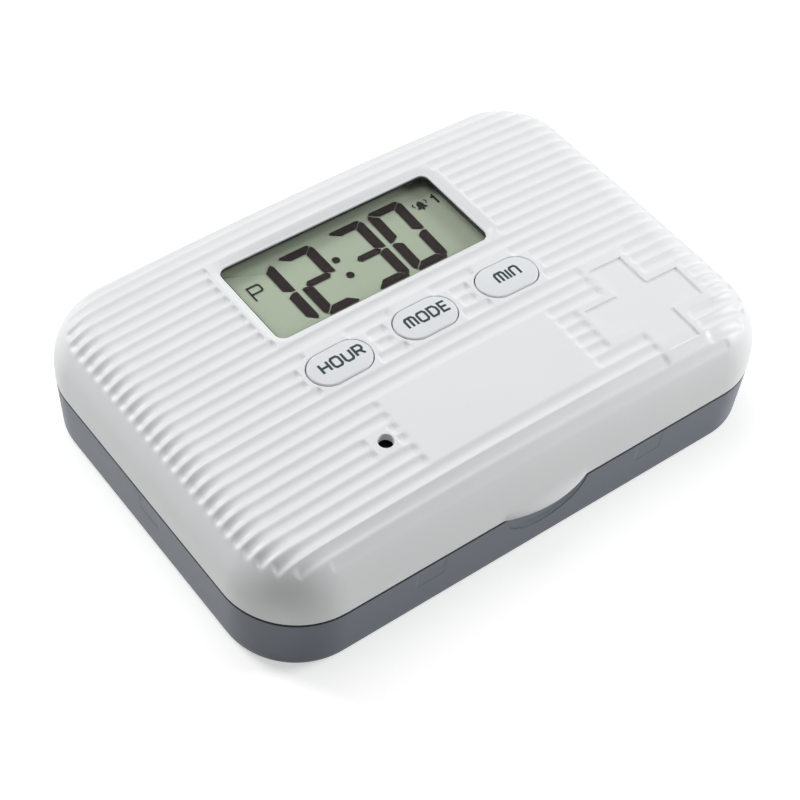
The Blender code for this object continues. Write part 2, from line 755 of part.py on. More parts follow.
def knuckles(of_lid):
    """Hinge barrels with the arms that root them in the wall, above the axis or below it."""
    axis_y, axis_z = HINGE_AXIS
    root = CASE_DEPTH / 2 - KNUCKLE_ARM_ROOT
    low, high = sorted((axis_z, axis_z + KNUCKLE_ARM_HEIGHT * (1 if of_lid else -1)))
    barrels = [lying_cylinder(a, b, HINGE_AXIS, KNUCKLE_RADIUS) for a, b in knuckle_spans(of_lid)]
    arms = [box((a, root, low), (b, axis_y, high)) for a, b in knuckle_spans(of_lid)]
    return [merge(*barrels), merge(*arms)]


def knuckle_room(of_lid):
    """The space that the other half's knuckles need in this half's wall."""
    side = KNUCKLE_SIDE_GAP / 2
    radius = KNUCKLE_RADIUS + KNUCKLE_CLEARANCE
    spans = knuckle_spans(not of_lid)
    return merge(*[lying_cylinder(a - side, b + side, HINGE_AXIS, radius) for a, b in spans])


def pin_bores():
    reach = BASE_KNUCKLE_LENGTH / 2 + KNUCKLE_SIDE_GAP + LID_KNUCKLE_LENGTH + OVERRUN
    radius = PIN_RADIUS + PIN_BORE_CLEARANCE
    spans = [(x - reach, x + reach) for x in (-HINGE_X, HINGE_X)]
    return merge(*[lying_cylinder(low, high, HINGE_AXIS, radius) for low, high in spans])


def top_cover(material, parent):
    """The ribbed shell: crowned outside, hollow inside, with every opening in its face."""
    side_top = SPLIT_HEIGHT + LID_SIDE_HEIGHT
    outer_rings = dome_rings(LID_SIDE_DRAFT, EDGE_REACH, SPLIT_HEIGHT, side_top, 0, EDGE_STEPS)
    outer = loft(outer_rings, case_caps())
    inner_rings = dome_rings(
        LID_SIDE_DRAFT + LID_WALL,
        EDGE_REACH - LID_WALL / 2,
        SPLIT_HEIGHT - OVERRUN,
        side_top,
        ROOF_THICKNESS,
        INNER_EDGE_STEPS,
    )
    hollow = loft(inner_rings, case_caps())
    bosses = []
    for place, foot in boss_places():
        top = min(lid_surface(*at) for at in circle(place, BOSS_RADIUS)) - BOSS_ROOT
        profile = [(BOSS_RADIUS, foot), (BOSS_RADIUS, top)]
        bosses.append(turned(place, profile, SMALL_ROUND_STEPS))
    pilots = [
        turned(
            place,
            [
                (SCREW_RADIUS + BOSS_CLEARANCE, foot - OVERRUN),
                (SCREW_RADIUS + BOSS_CLEARANCE, foot + SCREW_LENGTH - COVER_THICKNESS),
            ],
            SMALL_ROUND_STEPS,
        )
        for place, foot in boss_places()
    ]
    window = prism(window_outline(), WINDOW_Z - OVERRUN, TOP + OVERRUN)
    pocket = prism(
        window_outline(LENS_FLANGE + FIT), BOARD_TOP_Z + OVERRUN, WINDOW_Z - RIM_THICKNESS
    )
    button_holes = [
        prism(capsule(place, BUTTON_SIZE, BUTTON_GAP), BOARD_TOP_Z + OVERRUN, TOP + OVERRUN)
        for place in button_places()
    ]
    hole = turned(
        SOUND_HOLE,
        [(SOUND_HOLE_RADIUS, BOARD_TOP_Z + OVERRUN), (SOUND_HOLE_RADIUS, TOP + OVERRUN)],
    )
    solid_steps = [("DIFFERENCE", hollow)]
    solid_steps += [("UNION", merge(*bosses)), ("UNION", thumb_lip())]
    solid_steps += [("DIFFERENCE", knuckle_room(True))]
    solid_steps += [("UNION", shape) for shape in knuckles(True)]
    cuts = [pin_bores(), merge(*pilots), merge(hole, *button_holes), bezel_cutter(), window, pocket]
    cuts += [cross_cutter(), *groove_cutters()]
    return stepped_piece("top_cover", outer, material, parent, solid_steps, cuts)


def stepped_piece(name, shape, material, parent, steps, cuts):
    """A piece built by joins and cuts in a given order, and then by further cuts."""
    thing = piece(name, shape, material, parent)
    for number, (operation, other) in enumerate(steps + [("DIFFERENCE", cut) for cut in cuts]):
        tool = add_object(f"{name}_{operation.lower()}_{number}", other, (0, 0, 0), parent)
        tool.hide_render = True
        tool.display_type = "WIRE"
        modifier = thing.modifiers.new(tool.name, "BOOLEAN")
        modifier.operation = operation
        modifier.solver = "EXACT"
        modifier.object = tool
    return thing


def display_lens(material, parent):
    """A clear plate under the rim, with a raised middle that fills the window."""
    flange = prism(window_outline(LENS_FLANGE, 3), LENS_TOP_Z - LENS_THICKNESS, LENS_TOP_Z)
    middle = prism(window_outline(-FIT, 3), LENS_TOP_Z - FIT, WINDOW_Z - LENS_SETBACK)
    piece("display_lens", flange, material, parent, add=[middle])


def centred_box(centre, half, low, high):
    near = (centre[0] - half[0], centre[1] - half[1], low)
    return box(near, (centre[0] + half[0], centre[1] + half[1], high))


def lcd_parts(glass, black, rubber, parent):
    """The liquid crystal panel, the frame that holds it and the strips that wire it to the board."""
    panel_half = [size / 2 + LCD_MARGIN for size in WINDOW_SIZE]
    panel_low = LCD_TOP_Z - LCD_THICKNESS
    piece("lcd_panel", centred_box(WINDOW_CENTRE, panel_half, panel_low, LCD_TOP_Z), glass, parent)
    frame_half = [half + LCD_FRAME_WALL + FIT for half in panel_half]
    frame_top = LENS_TOP_Z - LENS_THICKNESS - FIT
    body = centred_box(WINDOW_CENTRE, frame_half, BOARD_TOP_Z + FIT, frame_top)
    pocket_half = [half + FIT for half in panel_half]
    pocket = centred_box(WINDOW_CENTRE, pocket_half, BOARD_TOP_Z - OVERRUN, LCD_TOP_Z + FIT)
    sight = prism(window_outline(FIT, 3), LCD_TOP_Z, frame_top + OVERRUN)
    piece("lcd_frame", body, black, parent, cut=[pocket, sight])
    for name, side in (("zebra_strip_front", -1), ("zebra_strip_back", 1)):
        y = WINDOW_CENTRE[1] + side * (panel_half[1] - ZEBRA_WIDTH)
        half = (WINDOW_SIZE[0] / 2 - ZEBRA_SETBACK, ZEBRA_WIDTH / 2)
        strip = centred_box((WINDOW_CENTRE[0], y), half, BOARD_TOP_Z + FIT, panel_low - FIT)
        piece(name, strip, rubber, parent)


def button(name, place, material, parent):
    """A capsule cap that sits in its hole, with a flange under the roof and a stem below."""
    top = lid_surface(*place) + BUTTON_PROUD
    roof = lid_surface(*place) - ROOF_THICKNESS
    flange_top = roof - LOOSE_FIT
    flange_low = flange_top - BUTTON_FLANGE_THICKNESS
    stem_low = BOARD_TOP_Z + FIT + DOME_HEIGHT + FIT
    levels = (
        (0.0, flange_top - FIT),
        (0.0, top - BUTTON_EDGE),
        (-BUTTON_EDGE, top),
        (-BUTTON_SIZE[1] * BUTTON_CROWN_SHARE, top + BUTTON_DOME),
    )
    cap = loft([[(x, y, z) for x, y in capsule(place, BUTTON_SIZE, grow)] for grow, z in levels])
    flange = prism(capsule(place, BUTTON_SIZE, BUTTON_FLANGE), flange_low, flange_top)
    stem = turned(place, [(BUTTON_STEM_RADIUS, stem_low), (BUTTON_STEM_RADIUS, flange_low + FIT)])
    piece(f"{name}_button", cap, material, parent, origin=(*place, top), add=[flange, stem])


def button_dome(name, place, material, parent):
    """The rubber dome that pushes a button back up, open to the board underneath."""
    low = BOARD_TOP_Z + FIT
    high = low + DOME_HEIGHT
    outer = turned(place, [(DOME_BASE_RADIUS, low), (DOME_TOP_RADIUS, high)])
    room = turned(
        place,
        [
            (DOME_BASE_RADIUS - DOME_WALL, low - FIT),
            (DOME_BASE_RADIUS - DOME_WALL, low),
            (DOME_TOP_RADIUS - DOME_WALL, high - 2 * DOME_WALL),
        ],
    )
    piece(f"{name}_button_dome", outer, material, parent, origin=(*place, low), cut=[room])


def circuit_board(material, parent):
    """The board, with a tongue at the front that carries the buzzer."""
    tongue_right = BAY_LEFT_X - BAY_WALL - LOOSE_FIT
    outline = [
        (BOARD_LEFT_X, BOARD_FRONT_Y),
        (BOARD_TONGUE_LEFT_X, BOARD_FRONT_Y),
        (BOARD_TONGUE_LEFT_X, BOARD_TONGUE_FRONT_Y),
        (tongue_right, BOARD_TONGUE_FRONT_Y),
        (tongue_right, BOARD_FRONT_Y),
        (BOARD_RIGHT_X, BOARD_FRONT_Y),
        (BOARD_RIGHT_X, BOARD_BACK_Y),
        (BOARD_LEFT_X, BOARD_BACK_Y),
    ]
    radius = SCREW_RADIUS + LOOSE_FIT
    profile = [(radius, BOARD_BOTTOM_Z - OVERRUN), (radius, BOARD_TOP_Z + OVERRUN)]
    holes = [turned(place, profile, SMALL_ROUND_STEPS) for place in board_screw_places()]
    board = prism(outline, BOARD_BOTTOM_Z, BOARD_TOP_Z)
    piece("circuit_board", board, material, parent, cut=[merge(*holes)])


def board_parts(black, steel, parent):
    """The buzzer and the crystal on top of the board, and the sealed chip underneath."""
    place = SOUND_HOLE
    low = BOARD_TOP_Z + FIT
    high = low + BUZZER_HEIGHT
    buzzer = turned(place, [(BUZZER_RADIUS, low), (BUZZER_RADIUS, high)], LARGE_ROUND_STEPS)
    port = turned(
        place, [(BUZZER_PORT_RADIUS, high - BUZZER_PORT_DEPTH), (BUZZER_PORT_RADIUS, high + OVERRUN)]
    )
    piece("buzzer", buzzer, black, parent, cut=[port])
    under = BOARD_BOTTOM_Z - FIT
    blob = turned(
        CHIP_PLACE,
        [(CHIP_RADIUS * CHIP_CROWN_SHARE, under - CHIP_HEIGHT), (CHIP_RADIUS, under)],
    )
    piece("controller_chip", blob, black, parent)
    axis = (CRYSTAL_PLACE[1], low + CRYSTAL_RADIUS)
    x = CRYSTAL_PLACE[0]
    can = lying_cylinder(x, x + CRYSTAL_LENGTH, axis, CRYSTAL_RADIUS, SMALL_ROUND_STEPS)
    piece("quartz_crystal", can, steel, parent)


def battery_cell(name, y, nub_side, material, parent):
    """A small round cell lying along X, its raised contact at one end."""
    low, high = CELL_LEFT_X, CELL_RIGHT_X
    body_low = low + (CELL_NUB_LENGTH if nub_side < 0 else 0)
    body_high = high - (CELL_NUB_LENGTH if nub_side > 0 else 0)
    body = lying_cylinder(body_low, body_high, (y, CELL_Z), CELL_RADIUS, LARGE_ROUND_STEPS)
    tip = (low, body_low + FIT) if nub_side < 0 else (body_high - FIT, high)
    nub = lying_cylinder(*tip, (y, CELL_Z), CELL_NUB_RADIUS, SMALL_ROUND_STEPS)
    piece(name, body, material, parent, add=[nub])


def contact_plate(x, low_y, high_y):
    half = CONTACT_THICKNESS / 2
    return box(
        (x - half, low_y, SPLIT_HEIGHT + CONTACT_LOW), (x + half, high_y, TOP - CONTACT_HEADROOM)
    )


def contact_spring(x, tip_x, y):
    """A cone of wire that starts on a contact plate and ends just short of a cell."""
    count = SPRING_TURNS * SPRING_POINTS_PER_TURN
    path = []
    for i in range(count + 1):
        share = i / count
        radius = SPRING_BASE_RADIUS + (SPRING_TIP_RADIUS - SPRING_BASE_RADIUS) * share
        turn = math.tau * SPRING_TURNS * share
        at = x + (tip_x - x) * share
        path.append((at, y + radius * math.cos(turn), CELL_Z + radius * math.sin(turn)))
    return tube(path, SPRING_WIRE_RADIUS)


def battery_contacts(steel, parent):
    """Two separate contacts at the left end of the bay, and one at the right that joins the cells."""
    half = CONTACT_THICKNESS / 2
    left_x = BAY_LEFT_X + FIT + half
    right_x = BAY_RIGHT_X - FIT - half
    tip = SPRING_WIRE_RADIUS + FIT
    back = (CELL_BACK_Y - CONTACT_HALF_WIDTH, CELL_BACK_Y + CONTACT_HALF_WIDTH)
    front = (CELL_FRONT_Y - CONTACT_HALF_WIDTH, CELL_FRONT_Y + CONTACT_HALF_WIDTH)
    post = lying_cylinder(
        left_x, CELL_LEFT_X - FIT, (CELL_BACK_Y, CELL_Z), CONTACT_DIMPLE_RADIUS, SMALL_ROUND_STEPS
    )
    piece("battery_plus_contact", contact_plate(left_x, *back), steel, parent, add=[post])
    spring = contact_spring(left_x, CELL_LEFT_X - tip, CELL_FRONT_Y)
    piece("battery_minus_spring", contact_plate(left_x, *front), steel, parent, add=[spring])
    bridge = contact_plate(right_x, front[0], back[1])
    spring = contact_spring(right_x, CELL_RIGHT_X + tip, CELL_BACK_Y)
    post = lying_cylinder(
        CELL_RIGHT_X + FIT, right_x, (CELL_FRONT_Y, CELL_Z), CONTACT_DIMPLE_RADIUS, SMALL_ROUND_STEPS
    )
    piece("battery_bridge_spring", bridge, steel, parent, add=[merge(spring, post)])


def smooth_path(knots, steps=4):
    """Points along a smooth curve through the knots."""
    ends = [knots[0], *knots, knots[-1]]
    path = []
    for a, b, c, d in zip(ends, ends[1:], ends[2:], ends[3:]):
        a, b, c, d = (Vector(p) for p in (a, b, c, d))
        for i in range(steps):
            t = i / steps
            path.append(
                tuple(
                    b
                    + (c - a) * t / 2
                    + (2 * a - 5 * b + 4 * c - d) * t**2 / 2
                    + (3 * b - a - 3 * c + d) * t**3 / 2
                )
            )
    path.append(tuple(knots[-1]))
    return path


def battery_leads(red, dark, parent):
    """Insulated wires from the tops of two contacts, over the bay's walls, down to the board."""
    x = BAY_LEFT_X + FIT + CONTACT_THICKNESS / 2
    low = TOP - CONTACT_HEADROOM + FIT
    peak, over_wall = low + LEAD_RISE / 2, low - LEAD_RISE / 2
    pad_x, pad_y = BAY_LEFT_X + LEAD_SPACING, BOARD_FRONT_Y + LEAD_RISE
    knots = [
        (x, CELL_BACK_Y, low),
        (x, CELL_BACK_Y + LEAD_RISE, peak),
        (pad_x, CELL_BACK_Y + LEAD_SPACING, peak),
        (pad_x, BOARD_FRONT_Y - LEAD_RISE, over_wall),
        (pad_x, pad_y - LEAD_RISE / 2, (over_wall + BOARD_TOP_Z) / 2),
        (pad_x, pad_y, BOARD_TOP_Z + FIT),
    ]
    piece("battery_lead_red", tube(smooth_path(knots), LEAD_RADIUS), red, parent)
    pad_x, pad_y = BAY_LEFT_X - BAY_WALL - LEAD_RISE, CELL_FRONT_Y - LEAD_RISE
    knots = [
        (x, CELL_FRONT_Y, low),
        (x, CELL_FRONT_Y - LEAD_RISE / 2, peak),
        (BAY_LEFT_X - BAY_WALL / 2, pad_y, peak),
        (pad_x, pad_y, (over_wall + BOARD_TOP_Z) / 2),
        (pad_x, pad_y, BOARD_TOP_Z + FIT),
    ]
    piece("battery_lead_black", tube(smooth_path(knots), LEAD_RADIUS), dark, parent)


def screw_shape(place, head_low, length=SCREW_LENGTH):
    """A countersunk screw that points up, its head flush with the face it closes."""
    return turned(
        place,
        [
            (SCREW_HEAD_RADIUS, head_low),
            (SCREW_RADIUS, head_low + SCREW_HEAD_HEIGHT),
            (SCREW_RADIUS, head_low + length - SCREW_RADIUS),
            (SCREW_RADIUS * SCREW_TIP_SHARE, head_low + length),
        ],
        SMALL_ROUND_STEPS,
    )


def screw(name, place, head_low, material, parent):
    """A screw with a cross slot in its head."""
    half_long = SCREW_HEAD_RADIUS * SCREW_SLOT_LENGTH_SHARE / 2
    half_wide = SCREW_SLOT_WIDTH / 2
    slots = [
        centred_box(place, half, head_low - OVERRUN, head_low + SCREW_SLOT_DEPTH)
        for half in ((half_long, half_wide), (half_wide, half_long))
    ]
    piece(name, screw_shape(place, head_low), material, parent, origin=(*place, head_low), cut=slots)


def countersink(place, low):
    """The hole that a screw needs in the plate it holds."""
    return turned(
        place,
        [
            (SCREW_HEAD_RADIUS + LOOSE_FIT, low - OVERRUN),
            (SCREW_HEAD_RADIUS + LOOSE_FIT, low),
            (SCREW_RADIUS + LOOSE_FIT, low + SCREW_HEAD_HEIGHT),
            (SCREW_RADIUS + LOOSE_FIT, low + SCREW_HEAD_HEIGHT + OVERRUN),
        ],
        SMALL_ROUND_STEPS,
    )


def cover_screw_places():
    ys = (-COVER_SCREW_Y, COVER_SCREW_Y)
    return [(x, y) for x in (-COVER_SCREW_X, COVER_SCREW_X) for y in ys]


def door_tabs(grow):
    """The two tabs at the door's left end, or with a clearance, the slots that take them."""
    low, high = DOOR_TOP_Z - DOOR_TAB_THICKNESS - grow, DOOR_TOP_Z + grow
    tabs = []
    for side in (-1, 1):
        y = BAY_MIDDLE_Y + side * DOOR_TAB_PITCH / 2
        half = DOOR_TAB_WIDTH / 2 + grow
        left = BAY_LEFT_X - DOOR_TAB_REACH - grow
        tabs.append(box((left, y - half, low), (BAY_LEFT_X + OVERRUN, y + half, high)))
    return merge(*tabs)


def door_outline(gap):
    """The door's plan: a rectangle with a tongue at the right end for its screw."""
    left, right = BAY_LEFT_X + gap, BAY_RIGHT_X - gap
    front, back = BAY_FRONT_Y + gap, BAY_BACK_Y - gap
    half = DOOR_TONGUE_HALF_WIDTH - gap
    tip = BAY_RIGHT_X + DOOR_TONGUE_LENGTH - gap
    return [
        (left, front),
        (right, front),
        (right, BAY_MIDDLE_Y - half),
        (tip, BAY_MIDDLE_Y - half),
        (tip, BAY_MIDDLE_Y + half),
        (right, BAY_MIDDLE_Y + half),
        (right, back),
        (left, back),
    ]


def inner_cover(material, parent):
    """The plate under the electronics, with the open-topped bay that the cells lie in."""
    inset = LID_SIDE_DRAFT + LID_WALL + COVER_CLEARANCE
    half = (CASE_WIDTH / 2 - inset, CASE_DEPTH / 2 - inset)
    outline = rounded_rectangle((0, 0), half, CORNER_RADIUS - inset, 6)
    plate = prism(outline, COVER_BOTTOM_Z, COVER_TOP_Z)
    right = BAY_RIGHT_X + DOOR_TONGUE_LENGTH + PLATFORM_MARGIN
    platform = box(
        (BAY_LEFT_X - PLATFORM_MARGIN, BAY_FRONT_Y - PLATFORM_MARGIN, PLATFORM_Z),
        (right, BAY_BACK_Y + PLATFORM_MARGIN, COVER_TOP_Z - FIT),
    )
    walls = box(
        (BAY_LEFT_X - BAY_WALL, BAY_FRONT_Y - BAY_WALL, COVER_BOTTOM_Z),
        (BAY_RIGHT_X + BAY_WALL, BAY_BACK_Y + BAY_WALL, TOP - BAY_WALL_HEADROOM),
    )
    boss = turned(
        (DOOR_SCREW_X, BAY_MIDDLE_Y),
        [(BOSS_RADIUS, COVER_BOTTOM_Z + FIT), (BOSS_RADIUS, COVER_TOP_Z + DOOR_SCREW_BOSS_HEIGHT)],
        SMALL_ROUND_STEPS,
    )
    latch_back = -CASE_DEPTH / 2 + BASE_INSET + BASE_WALL + LOOSE_FIT + LATCH_THICKNESS
    latch = box(
        (-LATCH_HALF_WIDTH, latch_back - LATCH_THICKNESS, COVER_TOP_Z - FIT - LATCH_DROP),
        (LATCH_HALF_WIDTH, latch_back, COVER_TOP_Z - FIT),
    )
    bay = box(
        (BAY_LEFT_X, BAY_FRONT_Y, PLATFORM_Z - OVERRUN),
        (BAY_RIGHT_X, BAY_BACK_Y, TOP - BAY_WALL_HEADROOM + OVERRUN),
    )
    door_seat = prism(door_outline(0), PLATFORM_Z - OVERRUN, DOOR_TOP_Z + FIT)
    pilot_radius = SCREW_RADIUS + BOSS_CLEARANCE
    pilot = turned(
        (DOOR_SCREW_X, BAY_MIDDLE_Y),
        [(pilot_radius, DOOR_TOP_Z), (pilot_radius, COVER_TOP_Z + DOOR_SCREW_BOSS_HEIGHT + OVERRUN)],
        SMALL_ROUND_STEPS,
    )
    sinks = [countersink(place, COVER_BOTTOM_Z) for place in cover_screw_places()]
    steps = [("UNION", shape) for shape in (platform, walls, boss, latch)]
    cuts = [bay, door_seat, pilot, merge(*sinks), door_tabs(FIT)]
    stepped_piece("inner_cover", plate, material, parent, steps, cuts)


def battery_door(material, parent):
    """The door over the cells, hooked at its left end and screwed down at its right."""
    plate = prism(door_outline(LOOSE_FIT), PLATFORM_Z, DOOR_TOP_Z)
    sink = countersink((DOOR_SCREW_X, BAY_MIDDLE_Y), PLATFORM_Z)
    piece("battery_door", plate, material, parent, add=[door_tabs(0)], cut=[sink])


# The base


def base_shell(material, parent):
    """The lower shell, with rounded bottom edges, a finger scoop and its half of the hinges."""
    foot = BASE_INSET + BASE_DRAFT
    rings = []
    for step in range(BASE_EDGE_STEPS + 1):
        turn = math.radians(90 * step / BASE_EDGE_STEPS)
        inset = foot + BASE_EDGE_RADIUS * (1 - math.sin(turn))
        level = BASE_EDGE_RADIUS * (1 - math.cos(turn))
        rings.append(case_ring(inset, lambda x, y: level))
    rings.append(case_ring(BASE_INSET, lambda x, y: BASE_TOP_Z))
    inner = BASE_INSET + BASE_WALL
    hollow = loft(
        [case_ring(inner, lambda x, y: level) for level in (BASE_FLOOR, BASE_TOP_Z + OVERRUN)]
    )
    steps = [("DIFFERENCE", hollow), ("DIFFERENCE", knuckle_room(False))]
    steps += [("UNION", shape) for shape in knuckles(False)]
    cuts = [pin_bores(), finger_scoop(), snap_blocks(inner, SNAP_POCKET, 0.0)]
    stepped_piece("base_shell", loft(rings), material, parent, steps, cuts)


def finger_scoop():
    """A shallow bowl cut in the front wall under the lid's lip, where a fingertip goes."""
    turns, levels = SCOOP_STEPS_ROUND, SCOOP_STEPS_DEEP
    rings = []
    for step in range(1, levels):
        tilt = math.pi * step / levels
        spread = math.sin(tilt)
        y = -CASE_DEPTH / 2 + BASE_INSET - SCOOP_DEPTH * math.cos(tilt)
        rings.append(
            [
                (
                    SCOOP_HALF_WIDTH * spread * math.cos(math.tau * i / turns),
                    y,
                    SPLIT_HEIGHT + SCOOP_HEIGHT * spread * math.sin(math.tau * i / turns),
                )
                for i in range(turns)
            ]
        )
    return loft(rings)


def snap_blocks(inset, depth, gap):
    """Pockets in the base's walls, or with a gap, the tray's bumps that snap into them."""
    half = (SNAP_SIZE[0] / 2 - gap, SNAP_SIZE[1] / 2 - gap)
    middle = SPLIT_HEIGHT - SNAP_TOP - SNAP_SIZE[1] / 2
    low, high = middle - half[1], middle + half[1]
    wall_y, wall_x = CASE_DEPTH / 2 - inset, CASE_WIDTH / 2 - inset
    blocks = []
    for x in (-FRONT_SNAP_X, FRONT_SNAP_X):
        blocks.append(box((x - half[0], -wall_y - depth, low), (x + half[0], -wall_y + OVERRUN, high)))
    for side in (-1, 1):
        near, far = sorted((side * (wall_x - OVERRUN), side * (wall_x + depth)))
        blocks.append(box((near, SIDE_SNAP_Y - half[0], low), (far, SIDE_SNAP_Y + half[0], high)))
    return merge(*blocks)


def compartments():
    """Each compartment of the tray: its middle in plan, its half sizes and its corner radii."""
    inset = BASE_INSET + BASE_WALL + LOOSE_FIT + TRAY_WALL
    room = (CASE_WIDTH - 2 * inset, CASE_DEPTH - 2 * inset)
    half_x = (room[0] - (TRAY_COLUMNS - 1) * TRAY_WALL) / TRAY_COLUMNS / 2
    half_y = (room[1] - (TRAY_ROWS - 1) * TRAY_WALL) / TRAY_ROWS / 2
    places = []
    for row in range(TRAY_ROWS):
        for column in range(TRAY_COLUMNS):
            step_x, step_y = column - (TRAY_COLUMNS - 1) / 2, row - (TRAY_ROWS - 1) / 2
            middle = (step_x * (2 * half_x + TRAY_WALL), step_y * (2 * half_y + TRAY_WALL))
            radii = [
                CORNER_RADIUS - inset if x * step_x > 0 and y * step_y > 0 else CELL_CORNER
                for x, y, _ in CORNERS
            ]
            places.append((middle, (half_x, half_y), radii))
    return places


def compartment_room(centre, half, radii):
    """The room of one compartment, its floor turned up at the edges so that pills roll out."""
    floor = TRAY_BOTTOM_Z + TRAY_FLOOR
    rings = []
    for step in range(CELL_FLOOR_STEPS + 1):
        turn = math.radians(90 * step / CELL_FLOOR_STEPS)
        grow = -CELL_FLOOR_RADIUS * (1 - math.sin(turn))
        level = floor + CELL_FLOOR_RADIUS * (1 - math.cos(turn))
        size = (half[0] + grow, half[1] + grow)
        outline = rounded_rectangle(centre, size, [radius + grow for radius in radii], 3)
        rings.append([(x, y, level) for x, y in outline])
    outline = rounded_rectangle(centre, half, radii, 3)
    rings.append([(x, y, TRAY_TOP_Z + OVERRUN) for x, y in outline])
    return loft(rings)


def pill_tray(material, parent):
    """The tray of six compartments, snapped into the base."""
    outside = BASE_INSET + BASE_WALL + LOOSE_FIT
    half = (CASE_WIDTH / 2 - outside, CASE_DEPTH / 2 - outside)
    outline = rounded_rectangle((0, 0), half, CORNER_RADIUS - outside, 6)
    block = prism(outline, TRAY_BOTTOM_Z, TRAY_TOP_Z)
    bumps = snap_blocks(outside, SNAP_POCKET, FIT)
    room = [compartment_room(*place) for place in compartments()]
    notch_half = LATCH_HALF_WIDTH + LATCH_NOTCH_SIDE
    front = -CASE_DEPTH / 2 + outside
    latch_low = COVER_TOP_Z - FIT - LATCH_DROP - LOOSE_FIT
    back, high = front + TRAY_WALL + FIT, max(TRAY_TOP_Z, latch_low) + OVERRUN
    notch = box((-notch_half, front - OVERRUN, latch_low), (notch_half, back, high))
    piece("pill_tray", block, material, parent, add=[bumps], cut=[merge(*room), notch])


def hinge_pins(material, parent):
    reach = BASE_KNUCKLE_LENGTH / 2 + KNUCKLE_SIDE_GAP + LID_KNUCKLE_LENGTH
    for name, x in (("hinge_pin_left", -HINGE_X), ("hinge_pin_right", HINGE_X)):
        pin = lying_cylinder(x - reach, x + reach, HINGE_AXIS, PIN_RADIUS)
        piece(name, pin, material, parent, origin=(x, *HINGE_AXIS))


def build():
    clear_scene()
    white = plastic("white_plastic", (0.86, 0.87, 0.86), 0.38)
    keys = plastic("key_plastic", (0.84, 0.85, 0.85), 0.42)
    inner = plastic("inner_white_plastic", (0.80, 0.81, 0.81), 0.45)
    slate = plastic("slate_plastic", (0.14, 0.16, 0.19), 0.30)
    tray = plastic("tray_plastic", (0.17, 0.19, 0.22), 0.35)
    clear = plastic("clear_lens", (0.95, 0.97, 0.96), 0.05, alpha=0.25)
    glass = plastic("lcd_glass", (0.24, 0.28, 0.21), 0.25)
    black = plastic("black_plastic", (0.02, 0.02, 0.02), 0.40)
    rubber = plastic("contact_rubber", (0.25, 0.22, 0.24), 0.80)
    silicone = plastic("dome_rubber", (0.55, 0.56, 0.57), 0.70)
    board = plastic("board_laminate", (0.02, 0.16, 0.07), 0.45)
    steel = plastic("steel", (0.60, 0.60, 0.61), 0.30, metallic=1.0)
    jacket = plastic("cell_jacket", (0.10, 0.11, 0.13), 0.35)
    red = plastic("red_wire", (0.50, 0.03, 0.03), 0.50)
    dark = plastic("black_wire", (0.02, 0.02, 0.02), 0.50)
    base = empty("base", (0, 0, 0))
    lid = empty("lid_pivot", (0, *HINGE_AXIS), base)
    base_shell(slate, base)
    pill_tray(tray, base)
    hinge_pins(steel, base)
    top_cover(white, lid)
    display_lens(clear, lid)
    lcd_parts(glass, black, rubber, lid)
    for name, place in zip(BUTTON_NAMES, button_places()):
        button(name, place, keys, lid)
        button_dome(name, place, silicone, lid)
    circuit_board(board, lid)
    board_parts(black, steel, lid)
    battery_cell("battery_cell_back", CELL_BACK_Y, -1, jacket, lid)
    battery_cell("battery_cell_front", CELL_FRONT_Y, 1, jacket, lid)
    battery_contacts(steel, lid)
    battery_leads(red, dark, lid)
    inner_cover(inner, lid)
    battery_door(inner, lid)
    screw("battery_door_screw", (DOOR_SCREW_X, BAY_MIDDLE_Y), PLATFORM_Z, steel, lid)
    for number, place in enumerate(cover_screw_places(), 1):
        screw(f"inner_cover_screw_{number}", place, COVER_BOTTOM_Z, steel, lid)
    for number, place in enumerate(board_screw_places(), 1):
        head_low = BOARD_BOTTOM_Z - SCREW_HEAD_HEIGHT - FIT
        screw(f"board_screw_{number}", place, head_low, steel, lid)


build()
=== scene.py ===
"""Looks of the electronic pill box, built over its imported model.

Shapes are worked out in millimetres and scaled to metres in Skin.object. +Z is up, the hinge is
at +Y. Each shell is a fine surface from the formulas of the solid that it stands for, with small
forms that differ from it by less than half a millimetre.
"""

import math

import bmesh
import bpy
import numpy as np
from mathutils import Matrix, Vector


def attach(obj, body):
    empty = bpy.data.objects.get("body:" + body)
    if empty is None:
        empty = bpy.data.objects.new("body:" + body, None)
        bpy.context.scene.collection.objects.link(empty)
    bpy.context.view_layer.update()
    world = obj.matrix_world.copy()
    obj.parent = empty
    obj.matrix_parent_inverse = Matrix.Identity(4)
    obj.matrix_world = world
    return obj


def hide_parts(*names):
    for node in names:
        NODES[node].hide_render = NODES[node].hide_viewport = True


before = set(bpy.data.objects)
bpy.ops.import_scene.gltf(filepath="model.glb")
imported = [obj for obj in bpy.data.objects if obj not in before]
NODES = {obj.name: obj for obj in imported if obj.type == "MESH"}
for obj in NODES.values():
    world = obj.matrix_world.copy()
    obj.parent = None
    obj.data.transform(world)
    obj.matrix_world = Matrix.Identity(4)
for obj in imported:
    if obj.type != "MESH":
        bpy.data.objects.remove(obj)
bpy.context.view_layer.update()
MM = 0.001

